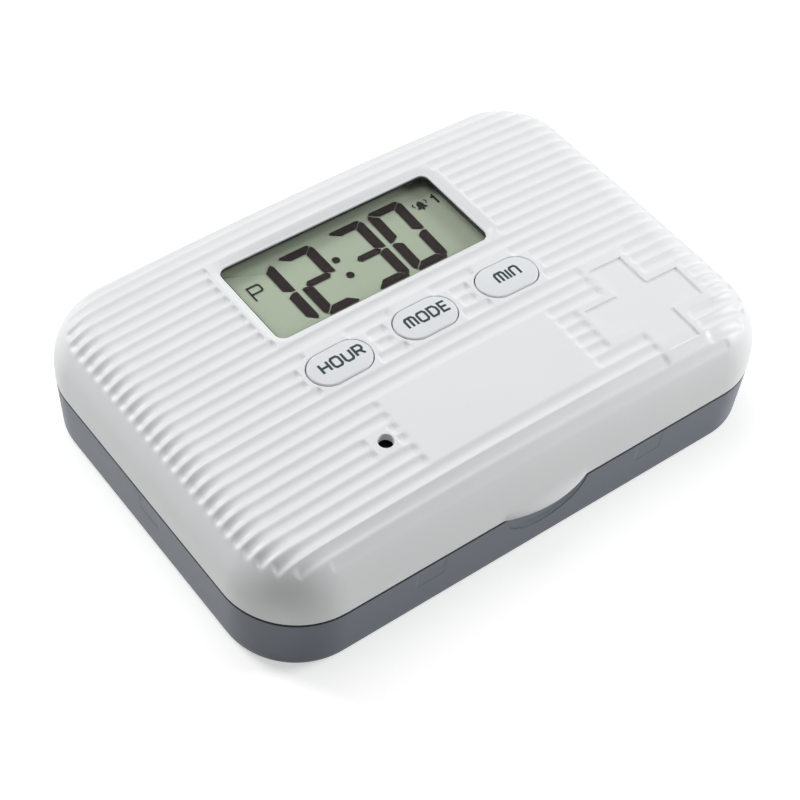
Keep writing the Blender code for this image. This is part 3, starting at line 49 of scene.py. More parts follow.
# The case, in millimetres
WIDTH, DEPTH, CORNER = 116.0, 81.4, 15.1
SPLIT, SPLIT_GAP = 13.6, 0.4
LID_HEIGHT, SIDE_HEIGHT, SIDE_DRAFT = 14.75, 1.5, 0.1
CROWN_DROPS, CROWN_SHARES = (2.5, 1.5), (0.38, 0.62)
EDGE_REACH, EDGE_POWER = 9.6, 2.33
EDGE_INSET = SIDE_DRAFT + EDGE_REACH
TOP = SPLIT + LID_HEIGHT
LID_WALL = 1.8
PITCH, GROOVES = 2.74, 14
WINDOW, WINDOW_HALF, WINDOW_CORNER = (-0.8, 16.5), (23.8, 10.4), 1.9
WINDOW_Z = TOP - 1.4
BEZEL, BEZEL_BORDER, BEZEL_SHARE = 1.9, 0.4, 0.35
BUTTONS = {"hour": (-19.4, -4.7), "mode": (-0.6, -4.7), "min": (18.2, -4.7)}
CAP_HALF, CAP_GAP, CAP_BORDER = (6.4, 3.8), 0.22, 1.2
HOLE, HOLE_RADIUS, HOLE_PAD, HOLE_PAD_SHIFT = (-23.1, -23.3), 1.45, 2.7, -0.6
PANEL_SPAN, PANEL_HALF = (-19.4, 18.5), 8.2
CROSS, CROSS_UNIT, CROSS_BORDER = (36.0, -23.0), 7.5, 1.3
LIP_HALF, LIP_REACH, LIP_HEIGHT, LIP_FULLNESS = 9.4, 1.8, 2.0, 1.22
LCD_Z = WINDOW_Z - 2.6
RIM_THICK, LENS_FIT, PANEL_BORDER = 0.5, 0.2, 1.7
HINGE_X, HINGE_Y, HINGE_Z = 30.0, DEPTH / 2 + 1.2, SPLIT - SPLIT_GAP / 2
KNUCKLE, KNUCKLE_ROOM, BORE, WEB_HEIGHT = 2.0, 2.4, 0.85, 3.5
BASE_BARREL, LID_BARREL, BARREL_GAP, BARREL_EASE = 4.0, (4.3, 9.3), 0.2, 0.15
LID_BARREL_ROOM = (LID_BARREL[0] - BARREL_GAP, LID_BARREL[1] + BARREL_GAP)
BASE_TOP, BASE_INSET, BASE_DRAFT, BASE_EDGE = SPLIT - SPLIT_GAP, 0.15, 0.5, 2.2
BASE_WALL, BASE_FLOOR = 2.2, 1.5
SCOOP_X, SCOOP_HALF, SCOOP_DEPTH, SCOOP_RIM = 0.4, (9.2, 6.9), 0.2, 2.0
SCOOP_END, SCOOP_LOW = 10.6, 6.0
CREASE_DEPTH, CREASE_WIDTH, CREASE_START, CREASE_FADE = 0.3, 0.13, -9.6, 4.0
SNAP_X, SNAP_Y, SNAP_Z = 25.0, -2.0, 10.35
SNAP_HALF, SNAP_SINK, SNAP_EASE, SNAP_REACH = (3.15, 2.25), 0.065, 0.3, 3.6
TRAY_TOP, TRAY_BOTTOM, TRAY_WALL, TRAY_FLOOR = 12.3, 1.8, 1.2, 1.2
TRAY_INSET = BASE_INSET + BASE_WALL + 0.3
TRAY_CORNER, TRAY_EDGE, FLOOR_CURVE = 4.0, 0.2, 3.0
NOTCH_HALF, NOTCH_DEPTH, NOTCH_DROP = 7.2, 3.95, 1.0

# Ribs and recesses of the visual skin
GROOVE_DEPTH, GROOVE_HALF, GROOVE_END, GROOVE_POWER = 0.48, 1.33, 3.2, 1.15
GROOVE_MARGIN, LEAST_RUN = 3.0, 1.2
OUTER_SHARES = (0.3, 0.7)
CROSS_DEPTH, CROSS_WALL = 0.3, 0.08
OPENING_EDGE, LID_RIM_EDGE, BASE_RIM_EDGE = 0.16, 0.15, 0.25
SKIN_EDGE = 1.2

# Where the skin's grids change: the end of the straight rows, the corner where they draw in,
# the two lines astride a step, and how near the outline the base's marks are cut
ROW_END, TAPER_X, TAPER_Y = 47.5, 40.0, 36.0
STEP_LINES = (-0.05, 0.05)
MARKED_INSET = 1.0


# The lid's surface


def crown(x, y):
    """Height of the crowned top: TOP - a (2x/W)^2 - b (0.38 v^2 + 0.62 v^4), v = 2y/D."""
    across = (2 * y / DEPTH) ** 2
    bend = CROWN_SHARES[0] * across + CROWN_SHARES[1] * across**2
    return TOP - CROWN_DROPS[0] * (2 * x / WIDTH) ** 2 - CROWN_DROPS[1] * bend


def inset_of(x, y):
    """Distance inside the round-cornered outline, and the outward direction there."""
    past_x, past_y = np.abs(x) - (WIDTH / 2 - CORNER), np.abs(y) - (DEPTH / 2 - CORNER)
    corner = (past_x > 0) & (past_y > 0)
    length = np.hypot(past_x, past_y)
    safe = np.where(length > 0, length, 1)
    side = past_x > past_y
    out_x = np.where(corner, past_x / safe, np.where(side, 1.0, 0.0)) * np.sign(x)
    out_y = np.where(corner, past_y / safe, np.where(side, 0.0, 1.0)) * np.sign(y)
    inset = CORNER - np.where(corner, length, np.maximum(past_x, past_y))
    return inset, out_x, out_y


def lid_surface(x, y):
    """The lid's outer surface: foot + (crown at the shoulder - foot) (1 - u^p)^(1/p)."""
    inset, out_x, out_y = inset_of(x, y)
    inward = np.maximum(0.0, EDGE_INSET - inset)
    top = crown(x - out_x * inward, y - out_y * inward)
    foot = SPLIT + SIDE_HEIGHT
    left = np.clip(1 - np.maximum(0.0, inset - SIDE_DRAFT) / EDGE_REACH, 0, 1)
    return foot + (top - foot) * (1 - left**EDGE_POWER) ** (1 / EDGE_POWER)


def slopes(x, y, step=0.02):
    """Slopes of the lid's surface along X and Y, by central differences."""
    along_x = (lid_surface(x + step, y) - lid_surface(x - step, y)) / (2 * step)
    along_y = (lid_surface(x, y + step) - lid_surface(x, y - step)) / (2 * step)
    return along_x, along_y


def section_arc():
    """Y and arc length along the lid's middle section, from the crown's centre to its edge."""
    y = np.linspace(0, DEPTH / 2 - SKIN_EDGE, 4000)
    z = lid_surface(np.zeros_like(y), y)
    arc = np.concatenate([[0], np.cumsum(np.hypot(np.diff(y), np.diff(z)))])
    return y, arc


def rounded_span(y, centre, half, radius):
    """X range that a round-cornered rectangle covers at a Y, or None."""
    past = abs(y - centre[1]) - (half[1] - radius)
    if past >= radius:
        return None
    reach = half[0] - radius + math.sqrt(radius**2 - max(past, 0.0) ** 2)
    return centre[0] - reach, centre[0] + reach


def plain_spans(y):
    """X ranges at a Y that stay smooth, round the display, buttons, hole, panel and plus."""
    grow = BEZEL + BEZEL_BORDER
    frame_half = (WINDOW_HALF[0] + grow, WINDOW_HALF[1] + grow)
    spans = [rounded_span(y, WINDOW, frame_half, WINDOW_CORNER + grow)]
    cap = (CAP_HALF[0] + CAP_BORDER, CAP_HALF[1] + CAP_BORDER)
    spans += [rounded_span(y, place, cap, cap[1]) for place in BUTTONS.values()]
    pad = (HOLE[0] + HOLE_PAD_SHIFT, HOLE[1])
    spans.append(rounded_span(y, pad, (HOLE_PAD, HOLE_PAD), HOLE_PAD))
    if abs(y - HOLE[1]) < PANEL_HALF:
        spans.append(PANEL_SPAN)
    for half_x, half_y in ((3, 1), (1, 3)):
        if abs(y - CROSS[1]) < half_y * CROSS_UNIT / 2 + CROSS_BORDER:
            reach = half_x * CROSS_UNIT / 2 + CROSS_BORDER
            spans.append((CROSS[0] - reach, CROSS[0] + reach))
    return sorted(span for span in spans if span)


def groove_limit(y):
    """How far out a groove runs, up to a margin inside the outline."""
    border = CORNER - GROOVE_MARGIN
    past = abs(y) - (DEPTH / 2 - CORNER)
    if past <= 0:
        return WIDTH / 2 - GROOVE_MARGIN
    return 0.0 if past >= border else WIDTH / 2 - CORNER + math.sqrt(border**2 - past**2)


def groove_runs(y):
    """The stretches of X along which the groove at a Y is cut."""
    limit = groove_limit(y)
    runs, start = [], -limit
    for low, high in plain_spans(y):
        if low > start:
            runs.append((start, low))
        start = max(start, high)
    runs.append((start, limit))
    return [run for run in runs if run[1] - run[0] > LEAST_RUN]


SECTION_Y, SECTION_ARC = section_arc()
GROOVE_LINES = [
    math.copysign(float(np.interp(abs(k) * PITCH, SECTION_ARC, SECTION_Y)), k)
    for k in range(-GROOVES, GROOVES + 1)
]


def groove_depth(x, y):
    """Depth of the grooves: D (1 - (d / h)^2)^p, d the distance to the nearest stretch.

    Past a stretch's end the distance counts more, which makes the end walls steeper. The two
    outermost grooves at the front are shallower.
    """
    depth = np.zeros_like(x)
    stretch = np.sqrt(1 + slopes(x, y)[1] ** 2)
    shares = OUTER_SHARES + (1.0,) * (len(GROOVE_LINES) - len(OUTER_SHARES))
    for line, share_of_depth in zip(GROOVE_LINES, shares):
        across = np.abs(y - line) * stretch
        near = across < GROOVE_HALF
        if not near.any():
            continue
        near_x, near_across = x[near], across[near]
        best = np.zeros_like(near_x)
        for low, high in groove_runs(line):
            low, high = low + GROOVE_HALF / GROOVE_END, high - GROOVE_HALF / GROOVE_END
            beyond = np.maximum(0, np.maximum(low - near_x, near_x - high)) * GROOVE_END
            share = np.clip(np.hypot(beyond, near_across) / GROOVE_HALF, 0, 1)
            cut = share_of_depth * GROOVE_DEPTH * (1 - share**2) ** GROOVE_POWER
            best = np.maximum(best, cut)
        depth[near] = np.maximum(depth[near], best)
    return depth


def smooth(t):
    """3t^2 - 2t^3 between 0 and 1."""
    t = np.clip(t, 0, 1)
    return t * t * (3 - 2 * t)


def cross_depth(x, y):
    """Depth of the recessed plus sign: D (3t^2 - 2t^3), t from 0 to 1 over its leaning wall."""
    dx, dy = np.abs(x - CROSS[0]), np.abs(y - CROSS[1])
    half, long = CROSS_UNIT / 2, 3 * CROSS_UNIT / 2
    inside = np.maximum(np.minimum(long - dx, half - dy), np.minimum(half - dx, long - dy))
    return CROSS_DEPTH * smooth((inside + CROSS_WALL) / (2 * CROSS_WALL))


def outline_gap(x, y, centre, half, radius):
    """Signed distance outside a round-cornered rectangle."""
    dx = np.abs(x - centre[0]) - (half[0] - radius)
    dy = np.abs(y - centre[1]) - (half[1] - radius)
    outside = np.hypot(np.maximum(dx, 0), np.maximum(dy, 0))
    return outside + np.minimum(np.maximum(dx, dy), 0) - radius


def cover_points(x, y):
    """Points of the ribbed top: the surface, less its grooves and recesses along its normal.

    Round the window the height runs down to the rim as s t + (1 - s) (3t^2 - 2t^3).
    """
    z = lid_surface(x, y)
    along_x, along_y = slopes(x, y)
    length = np.sqrt(1 + along_x**2 + along_y**2)
    depth = (groove_depth(x, y) + cross_depth(x, y)) / length
    t = outline_gap(x, y, WINDOW, WINDOW_HALF, WINDOW_CORNER) / BEZEL
    share = BEZEL_SHARE * np.clip(t, 0, 1) + (1 - BEZEL_SHARE) * smooth(t)
    z = np.where(t < 1, WINDOW_Z + (z - WINDOW_Z) * share, z - depth)
    return np.stack([x + depth * along_x, y + depth * along_y, z], -1)


# Meshes


class Skin:
    """Gathers grids of points, in millimetres, and makes one mesh of them, in metres."""

    def __init__(self):
        self.points, self.quads, self.fans, self.count = [], [], [], 0

    def add_points(self, points):
        """Keeps the points and gives the number of the first."""
        start = self.count
        points = np.asarray(points, float).reshape(-1, 3)
        self.points.append(points)
        self.count += len(points)
        return start

    def grid(self, points, keep=None, around=False, flip=False):
        """Quads over points of shape (rows, columns, 3), facing columns x rows."""
        rows, columns = points.shape[:2]
        index = np.arange(rows * columns).reshape(rows, columns) + self.add_points(points)
        if around:
            index = np.concatenate([index, index[:, :1]], 1)
        quads = np.stack([index[:-1, :-1], index[:-1, 1:], index[1:, 1:], index[1:, :-1]], -1)
        quads = quads.reshape(-1, 4) if keep is None else quads[keep]
        self.quads.append(quads[:, ::-1] if flip else quads)

    def fan(self, ring, flip=False):
        """Triangles from a closed ring to its middle, facing up where the ring runs anticlockwise."""
        ring = np.asarray(ring, float)
        start = self.add_points(np.concatenate([ring, ring.mean(0, keepdims=True)]))
        here = np.arange(len(ring)) + start
        tris = np.stack([here, np.roll(here, -1), np.full(len(ring), start + len(ring))], -1)
        self.fans.append(tris[:, ::-1] if flip else tris)

    def closed(self, rings):
        """Rings one after the other, closed by a fan over the first and one over the last."""
        self.grid(np.stack(rings), around=True)
        self.fan(rings[0], flip=True)
        self.fan(rings[-1])

    def object(self, name, merge=0.002, sharp=38):
        """The object made of all that was gathered, with points nearer than the merge joined."""
        faces = [face for block in self.quads + self.fans for face in block.tolist()]
        mesh = bpy.data.meshes.new(name)
        mesh.from_pydata((np.concatenate(self.points) * MM).tolist(), [], faces)
        work = bmesh.new()
        work.from_mesh(mesh)
        bmesh.ops.remove_doubles(work, verts=work.verts, dist=merge * MM)
        bmesh.ops.dissolve_degenerate(work, edges=work.edges, dist=merge * MM / 10)
        work.to_mesh(mesh)
        work.free()
        return shown(name, mesh, sharp)


def shown(name, mesh, sharp=38):
    """An object for a mesh, smooth but for the edges that turn further than the angle."""
    mesh.shade_smooth()
    mesh.set_sharp_from_angle(angle=math.radians(sharp))
    thing = bpy.data.objects.new(name, mesh)
    bpy.context.scene.collection.objects.link(thing)
    return thing


def spread(low, high, step):
    """Evenly spaced values from low to high, about a step apart."""
    return np.linspace(low, high, max(1, round((high - low) / step)) + 1)


def thinned(lines, keep, least):
    """The lines of a grid: all those to keep, and the others that aren't too near to one."""
    keep, lines = np.unique(np.round(keep, 5)), np.asarray(lines)
    far = np.abs(lines[:, None] - keep[None, :]).min(1) > least
    return np.sort(np.concatenate([keep, lines[far]]))


def level(points, z):
    """Plan points at one height, or at a height each."""
    z = np.broadcast_to(z, points.shape[:1])
    return np.concatenate([points, z[:, None]], 1)


def quarter_round(radius, turns=(30, 60, 90)):
    """Steps of a rounded edge: r (1 - cosine) and r (1 - sine) of each turn in degrees."""
    for turn in np.radians(turns):
        yield radius * (1 - math.cos(turn)), radius * (1 - math.sin(turn))


def rounded_loop(centre, half, radii, steps=10, sides=(1, 1)):
    """A rectangle's outline anticlockwise, each corner an arc of its own radius."""
    parts = []
    for i, (sx, sy) in enumerate(((1, -1), (1, 1), (-1, 1), (-1, -1))):
        radius = radii[i] if isinstance(radii, (list, tuple)) else radii
        turn = np.radians(-90 + 90 * i + np.linspace(0, 90, steps + 1))
        middle = np.array([sx * (half[0] - radius), sy * (half[1] - radius)])
        parts.append(centre + middle + radius * np.stack([np.cos(turn), np.sin(turn)], -1))
    loop = []
    for i, part in enumerate(parts):
        count = sides[0] if i % 2 else sides[1]
        share = np.linspace(0, 1, count + 1)[1:-1, None]
        loop += [part, part[-1] + (parts[(i + 1) % 4][0] - part[-1]) * share]
    return np.concatenate(loop)


def capsule_loop(centre, half, grow, steps=16):
    """A capsule's outline: a rectangle whose corner radius is its half height."""
    half = (half[0] + grow, half[1] + grow)
    return rounded_loop(np.array(centre), half, half[1] - 1e-4, steps, (10, 1))


# The ribbed cover

# Each opening: middle, half sizes, corner radius, its patch's margin and rings, its wall's depth
VOIDS = {
    "window": (WINDOW, WINDOW_HALF, WINDOW_CORNER, 2.8, 14, 0.4),
    "hole": (HOLE, (HOLE_RADIUS, HOLE_RADIUS), HOLE_RADIUS - 1e-3, 0.9, 8, 1.6),
}
for button_name, button_place in BUTTONS.items():
    button_hole = (CAP_HALF[0] + CAP_GAP, CAP_HALF[1] + CAP_GAP)
    VOIDS[button_name] = (button_place, button_hole, button_hole[1] - 1e-3, 0.8, 10, 1.6)


def void_box(void):
    """The X and Y ranges of the grid that an opening's own patch fills."""
    centre, half, _, margin, _, _ = void
    return [(centre[i] - half[i] - margin, centre[i] + half[i] + margin) for i in (0, 1)]


def grid_lines():
    """X and Y lines of the cover's grid, finer where there are features, and on every edge."""
    half, long = CROSS_UNIT / 2, 3 * CROSS_UNIT / 2
    wall = (-CROSS_WALL, -0.03, 0.0, 0.03, CROSS_WALL)
    edges = [s * (h - w) for s in (-1, 1) for h in (half, long) for w in wall]
    keep_x = [CROSS[0] + edge for edge in edges]
    keep_y = [CROSS[1] + edge for edge in edges]
    for void in VOIDS.values():
        (x0, x1), (y0, y1) = void_box(void)
        keep_x += [x0, x1]
        keep_y += [y0, y1]
    room = BASE_BARREL + BARREL_GAP
    keep_x += [x + s * (room + d) for x in (-HINGE_X, HINGE_X) for s in (-1, 1) for d in STEP_LINES]
    keep_x += [-ROW_END, ROW_END]
    left, middle = -40.0, -28.5
    loose = [spread(-ROW_END, left, 0.5), spread(left, middle, 2), spread(middle, ROW_END, 0.45)]
    lines_x = thinned(np.concatenate(loose), keep_x, 0.14)
    arc = spread(-SECTION_ARC[-1], SECTION_ARC[-1], PITCH / 9)
    rows = np.sign(arc) * np.interp(np.abs(arc), SECTION_ARC, SECTION_Y)
    lines_y = thinned(rows, keep_y + [SECTION_Y[-1], -SECTION_Y[-1]], 0.07)
    return lines_x, lines_y


def top_grid():
    """The ribbed top as rows of places, each row as long as the outline leaves room for."""
    lines_x, lines_y = grid_lines()
    ends = np.concatenate([np.linspace(0, 0.5, 7)[1:], np.linspace(0.5, 1, 13)[1:]])
    corner, straight = CORNER - SKIN_EDGE, DEPTH / 2 - CORNER

    def reach(y):
        past = np.maximum(np.abs(y) - straight, 0)
        return WIDTH / 2 - CORNER + np.sqrt(np.maximum(corner**2 - past**2, 0))

    span = reach(np.minimum(np.abs(lines_y), TAPER_Y))[:, None]
    right = ROW_END + ends[None, :] * (span - ROW_END)
    middle = np.broadcast_to(lines_x, (len(lines_y), len(lines_x)))
    xs = np.concatenate([-right[:, ::-1], middle, right], 1)
    pull = (reach(lines_y)[:, None] - TAPER_X) / (span - TAPER_X)
    outer = (np.abs(xs) > TAPER_X) & (np.abs(lines_y)[:, None] > TAPER_Y)
    xs = np.where(outer, np.sign(xs) * (TAPER_X + (np.abs(xs) - TAPER_X) * pull), xs)
    return xs, np.repeat(lines_y[:, None], xs.shape[1], 1)


def kept_cells(xs, ys):
    """False for the cells that fall in an opening's patch."""
    mid_x = (xs[:-1, :-1] + xs[1:, 1:]) / 2
    mid_y = (ys[:-1, :-1] + ys[1:, 1:]) / 2
    keep = np.ones(mid_x.shape, bool)
    for void in VOIDS.values():
        (x0, x1), (y0, y1) = void_box(void)
        keep &= ~((mid_x > x0) & (mid_x < x1) & (mid_y > y0) & (mid_y < y1))
    return keep


def opening_patch(skin, void, xs, ys):
    """Rings from the patch's border in to an opening, round over its edge and down its wall."""
    centre, half, radius, _, steps, wall = void
    (x0, x1), (y0, y1) = void_box(void)
    row_x = xs[np.argmin(np.abs(ys[:, 0] - centre[1]))]
    on_x = row_x[(row_x > x0 - 1e-4) & (row_x < x1 + 1e-4)]
    on_y = ys[:, 0][(ys[:, 0] > y0 - 1e-4) & (ys[:, 0] < y1 + 1e-4)]
    loop = border_loop(np.stack(np.meshgrid(on_x, on_y), -1))
    core = np.maximum(np.array(half) - radius, 0)
    spine = centre + np.clip(loop - centre, -core, core)
    out = loop - spine
    out /= np.linalg.norm(out, axis=1)[:, None]
    inner = spine + out * (radius + OPENING_EDGE)
    rings = []
    for t in np.linspace(0, 1, steps + 1):
        at = loop + (inner - loop) * t
        rings.append(cover_points(at[:, 0], at[:, 1]))
    edge = rings[-1][:, 2]
    for down, outward in quarter_round(OPENING_EDGE, (22, 45, 68, 90)):
        rings.append(level(spine + out * (radius + outward), edge - down))
    rings.append(level(spine + out * radius, edge - wall))
    skin.grid(np.stack(rings), around=True)


def lip_reach(x):
    """How far the thumb lip stands out at an X, as an arc between its two ends."""
    radius = (LIP_HALF**2 + LIP_REACH**2) / (2 * LIP_REACH)
    return np.maximum(0, np.sqrt(np.maximum(radius**2 - x**2, 0)) - (radius - LIP_REACH))


def clear_of_barrels(x, y, z, near):
    """Y, moved in where a wall at the back would meet the round room of the other body's barrels."""
    room = KNUCKLE_ROOM**2 - (z - HINGE_Z) ** 2
    offset = np.abs(np.abs(x) - HINGE_X)
    meets = (offset > near[0]) & (offset < near[1]) & (y > 0) & (room > 0)
    return np.where(meets, np.minimum(y, HINGE_Y - np.sqrt(np.maximum(room, 0))), y)


def side_points(x, y, inset, z):
    """Points of the side wall, swollen at the thumb lip and hollowed round the base's barrels."""
    start, out_x, out_y = inset_of(x, y)
    px, py = x + out_x * (start - inset), y + out_y * (start - inset)
    pz = np.broadcast_to(z, px.shape) + np.zeros_like(px)
    lip = np.clip((1 - (pz - SPLIT) / LIP_HEIGHT) * LIP_FULLNESS, 0, 1)
    py = np.where((py < 0) & (out_y < -0.99), py - lip_reach(px) * lip, py)
    py = clear_of_barrels(px, py, pz, (-1, BASE_BARREL + BARREL_GAP))
    return np.stack([px, py, pz], -1)


def border_loop(grid):
    """The border of a grid of points, once round and anticlockwise."""
    return np.concatenate([grid[0, :-1], grid[:-1, -1], grid[-1, :0:-1], grid[:0:-1, 0]])


def hinge_barrel(skin, low_x, high_x, up):
    """A hinge barrel with the web that roots it in the wall, carried along X.

    The profile is an arc round the pin, a tangent to the wall and a side inside the wall.
    """
    turn = np.radians(np.linspace(-180, 52, 40))
    arc = np.stack([HINGE_Y + KNUCKLE * np.cos(turn), HINGE_Z + KNUCKLE * np.sin(turn)], -1)
    touch, root, web = DEPTH / 2 - 0.3, DEPTH / 2 - 1.0, HINGE_Z + WEB_HEIGHT
    profile = np.concatenate([arc, [[touch, web], [root, web], [root, HINGE_Z]]])
    centre = np.array([HINGE_Y, HINGE_Z])
    angle = np.arctan2(profile[:, 1] - HINGE_Z, profile[:, 0] - HINGE_Y)
    bore = centre + BORE * np.stack([np.cos(angle), np.sin(angle)], -1)
    small = centre + (profile - centre) * 0.92
    rings = []
    for x, ring in (
        (low_x, bore), (low_x, small), (low_x + BARREL_EASE, profile),
        (high_x - BARREL_EASE, profile), (high_x, small), (high_x, bore), (low_x, bore),
    ):
        z = ring[:, 1] if up else 2 * HINGE_Z - ring[:, 1]
        rings.append(np.stack([np.full(len(ring), x), ring[:, 0], z], -1))
    skin.grid(np.stack(rings), around=True, flip=not up)


def top_cover():
    """The ribbed shell: top, patches at its openings, walls down to the rim and up inside."""
    xs, ys = top_grid()
    skin = Skin()
    skin.grid(cover_points(xs, ys), keep=kept_cells(xs, ys))
    for void in VOIDS.values():
        opening_patch(skin, void, xs, ys)
    loop = border_loop(np.stack([xs, ys], -1))
    x, y = loop[:, 0], loop[:, 1]
    inset, out_x, out_y = inset_of(x, y)
    rings = [cover_points(x, y)]
    for turn in np.linspace(0, 1, 11)[1:]:
        depth = SKIN_EDGE + (SIDE_DRAFT - SKIN_EDGE) * (1 - (1 - turn) ** 2)
        px, py = x + out_x * (inset - depth), y + out_y * (inset - depth)
        rings.append(side_points(x, y, depth, lid_surface(px, py)))
    for z in (1.2, 0.95, 0.7, 0.45, 0.2):
        rings.append(side_points(x, y, SIDE_DRAFT, SPLIT + z))
    for inward, up in quarter_round(LID_RIM_EDGE):
        rings.append(side_points(x, y, SIDE_DRAFT + inward, SPLIT + up))
    inner = SIDE_DRAFT + LID_WALL
    inside = np.stack([x + out_x * (inset - inner), y + out_y * (inset - inner)], -1)
    rings += [level(inside, SPLIT + z) for z in (0.0, 1.5, 4.0)]
    skin.grid(np.stack(rings), around=True, flip=True)
    near, far = LID_BARREL
    for x in (-HINGE_X, HINGE_X):
        hinge_barrel(skin, x - far, x - near, True)
        hinge_barrel(skin, x + near, x + far, True)
    return skin.object("top_cover_ribbed")


# The base


def case_loop():
    """Places round the case's outline, anticlockwise, closer together at the scoop and hinges."""
    flat_x, flat_y = WIDTH / 2 - CORNER, DEPTH / 2 - CORNER
    snap = spread(SNAP_X - SNAP_REACH, SNAP_X + SNAP_REACH, 0.2)
    before, after = spread(SCOOP_END, snap[0] - 0.1, 2)[1:], spread(snap[-1] + 0.1, flat_x, 2)
    half_front = np.concatenate([before, snap, after])
    scoop = spread(-SCOOP_END, SCOOP_END, 0.13)
    front = np.concatenate([-half_front[::-1], scoop, half_front])
    ends = [end + d for end in LID_BARREL_ROOM for d in STEP_LINES]
    hinge = [x + s * end for x in (-HINGE_X, HINGE_X) for s in (-1, 1) for end in ends]
    back = thinned(spread(-flat_x, flat_x, 1.5), hinge + [-flat_x, flat_x], 0.3)
    snap = spread(SNAP_Y - SNAP_REACH, SNAP_Y + SNAP_REACH, 0.2)
    before, after = spread(-flat_y, snap[0] - 1, 2.5), spread(snap[-1] + 1, flat_y, 2.5)
    side = np.concatenate([before, snap, after])
    turn = np.radians(np.linspace(0, 90, 25))[1:-1]
    bend = np.stack([np.sin(turn), np.cos(turn)], -1) * CORNER
    lower = np.stack([flat_x + bend[:, 0], -flat_y - bend[:, 1]], -1)
    upper = np.stack([flat_x + bend[::-1, 0], flat_y + bend[::-1, 1]], -1)
    return np.concatenate(
        [
            np.stack([front, np.full(len(front), -DEPTH / 2)], -1),
            lower,
            np.stack([np.full(len(side), WIDTH / 2), side], -1),
            upper,
            np.stack([back[::-1], np.full(len(back), DEPTH / 2)], -1),
            upper[::-1] * (-1, 1),
            np.stack([np.full(len(side), -WIDTH / 2), side[::-1]], -1),
            lower[::-1] * (-1, 1),
        ]
    )


def scoop_depth(x, z):
    """Depth of the finger scoop: a shallow bowl in an ellipse, with a fine crease at its edge.

    The bowl is a (3t^2 - 2t^3) over its outer rim, the crease b exp(-(d / w)^2), which fades in
    over the scoop's left end.
    """
    r = np.hypot((x - SCOOP_X) / SCOOP_HALF[0], (z - SPLIT) / SCOOP_HALF[1])
    inside = (1 - r) * SCOOP_HALF[1]
    crease = CREASE_DEPTH * np.exp(-((inside / CREASE_WIDTH) ** 2))
    fade = smooth((x - CREASE_START) / CREASE_FADE)
    return SCOOP_DEPTH * smooth(inside / SCOOP_RIM) + crease * fade


def snap_mark(x, y, z, out_x, out_y):
    """Depth of the faint sink marks outside the snap pockets: soft-edged rectangles."""
    near_front = (out_y < -0.99) & (y < 0)
    along = np.where(near_front, np.abs(np.abs(x) - SNAP_X), np.abs(y - SNAP_Y))
    inside = np.minimum(SNAP_HALF[0] - along, SNAP_HALF[1] - np.abs(z - SNAP_Z))
    on_wall = near_front | (np.abs(out_x) > 0.99)
    return np.where(on_wall, SNAP_SINK * smooth(inside / SNAP_EASE), 0)


def base_ring(loop, inset, z):
    """The base's outline at an inset and height, hollowed at the scoop and round the lid's barrels."""
    _, out_x, out_y = inset_of(loop[:, 0], loop[:, 1])
    x, y = loop[:, 0] - out_x * inset, loop[:, 1] - out_y * inset
    pz = np.broadcast_to(z, x.shape) + np.zeros_like(x)
    if inset < MARKED_INSET:
        y = np.where((y < 0) & (out_y < -0.99), y + scoop_depth(x, pz), y)
        mark = snap_mark(x, y, pz, out_x, out_y)
        x, y = x - out_x * mark, y - out_y * mark
    y = clear_of_barrels(x, y, pz, LID_BARREL_ROOM)
    return np.stack([x, y, pz], -1)


def base_shell():
    """The lower shell: rounded bottom, drafted wall, eased rim, inner wall and floor."""
    loop = case_loop()
    foot = BASE_INSET + BASE_DRAFT
    rings = []
    for up, inward in quarter_round(BASE_EDGE, np.linspace(0, 90, 13)):
        rings.append(base_ring(loop, foot + inward, up))
    rim = BASE_TOP - BASE_RIM_EDGE
    heights = np.concatenate([spread(BASE_EDGE, SCOOP_LOW, 1.3)[1:], spread(SCOOP_LOW, rim, 0.13)[1:]])
    for z in heights:
        share = (z - BASE_EDGE) / (BASE_TOP - BASE_EDGE)
        rings.append(base_ring(loop, foot - BASE_DRAFT * share, z))
    for inward, down in quarter_round(BASE_RIM_EDGE):
        rings.append(base_ring(loop, BASE_INSET + inward, BASE_TOP - down))
    inner = BASE_INSET + BASE_WALL
    rings += [base_ring(loop, inner, z) for z in (BASE_TOP, BASE_TOP - 2, BASE_FLOOR)]
    skin = Skin()
    skin.closed(rings)
    for x in (-HINGE_X, HINGE_X):
        hinge_barrel(skin, x - BASE_BARREL, x + BASE_BARREL, False)
    return skin.object("base_shell_smooth")


def compartment_places():
    """Each compartment of the tray: its column and row, middle, half sizes and corner radius."""
    inset = TRAY_INSET + TRAY_WALL
    half_x = (WIDTH - 2 * inset - 2 * TRAY_WALL) / 6
    half_y = (DEPTH - 2 * inset - TRAY_WALL) / 4
    for row in (-1, 1):
        for column in (-1, 0, 1):
            middle = (column * (2 * half_x + TRAY_WALL), row * (half_y + TRAY_WALL / 2))
            yield column, row, np.array(middle), (half_x, half_y), CORNER - inset


def tray_loops(column, row, middle, half, outer):
    """The outline of the tray's top round a compartment, and the compartment's own, shrunk."""
    sides = ((1, -1), (1, 1), (-1, 1), (-1, -1))
    ends = [sx * column > 0 and sy * row > 0 for sx, sy in sides]
    grow = [[TRAY_WALL if at * s > 0 else TRAY_WALL / 2 for s in (1, -1)] for at in (column, row)]
    shift = np.array([(plus - minus) / 2 for plus, minus in grow])
    region_half = [size + sum(walls) / 2 for size, walls in zip(half, grow)]
    radii = [outer + TRAY_WALL if end else 1e-3 for end in ends]
    region = rounded_loop(middle + shift, region_half, radii, 12, (16, 16))

    def inside(shrink):
        radii = [max((outer if end else TRAY_CORNER) - shrink, 0.3) for end in ends]
        size = (half[0] - shrink, half[1] - shrink)
        return rounded_loop(middle, size, radii, 12, (16, 16))

    return region, inside


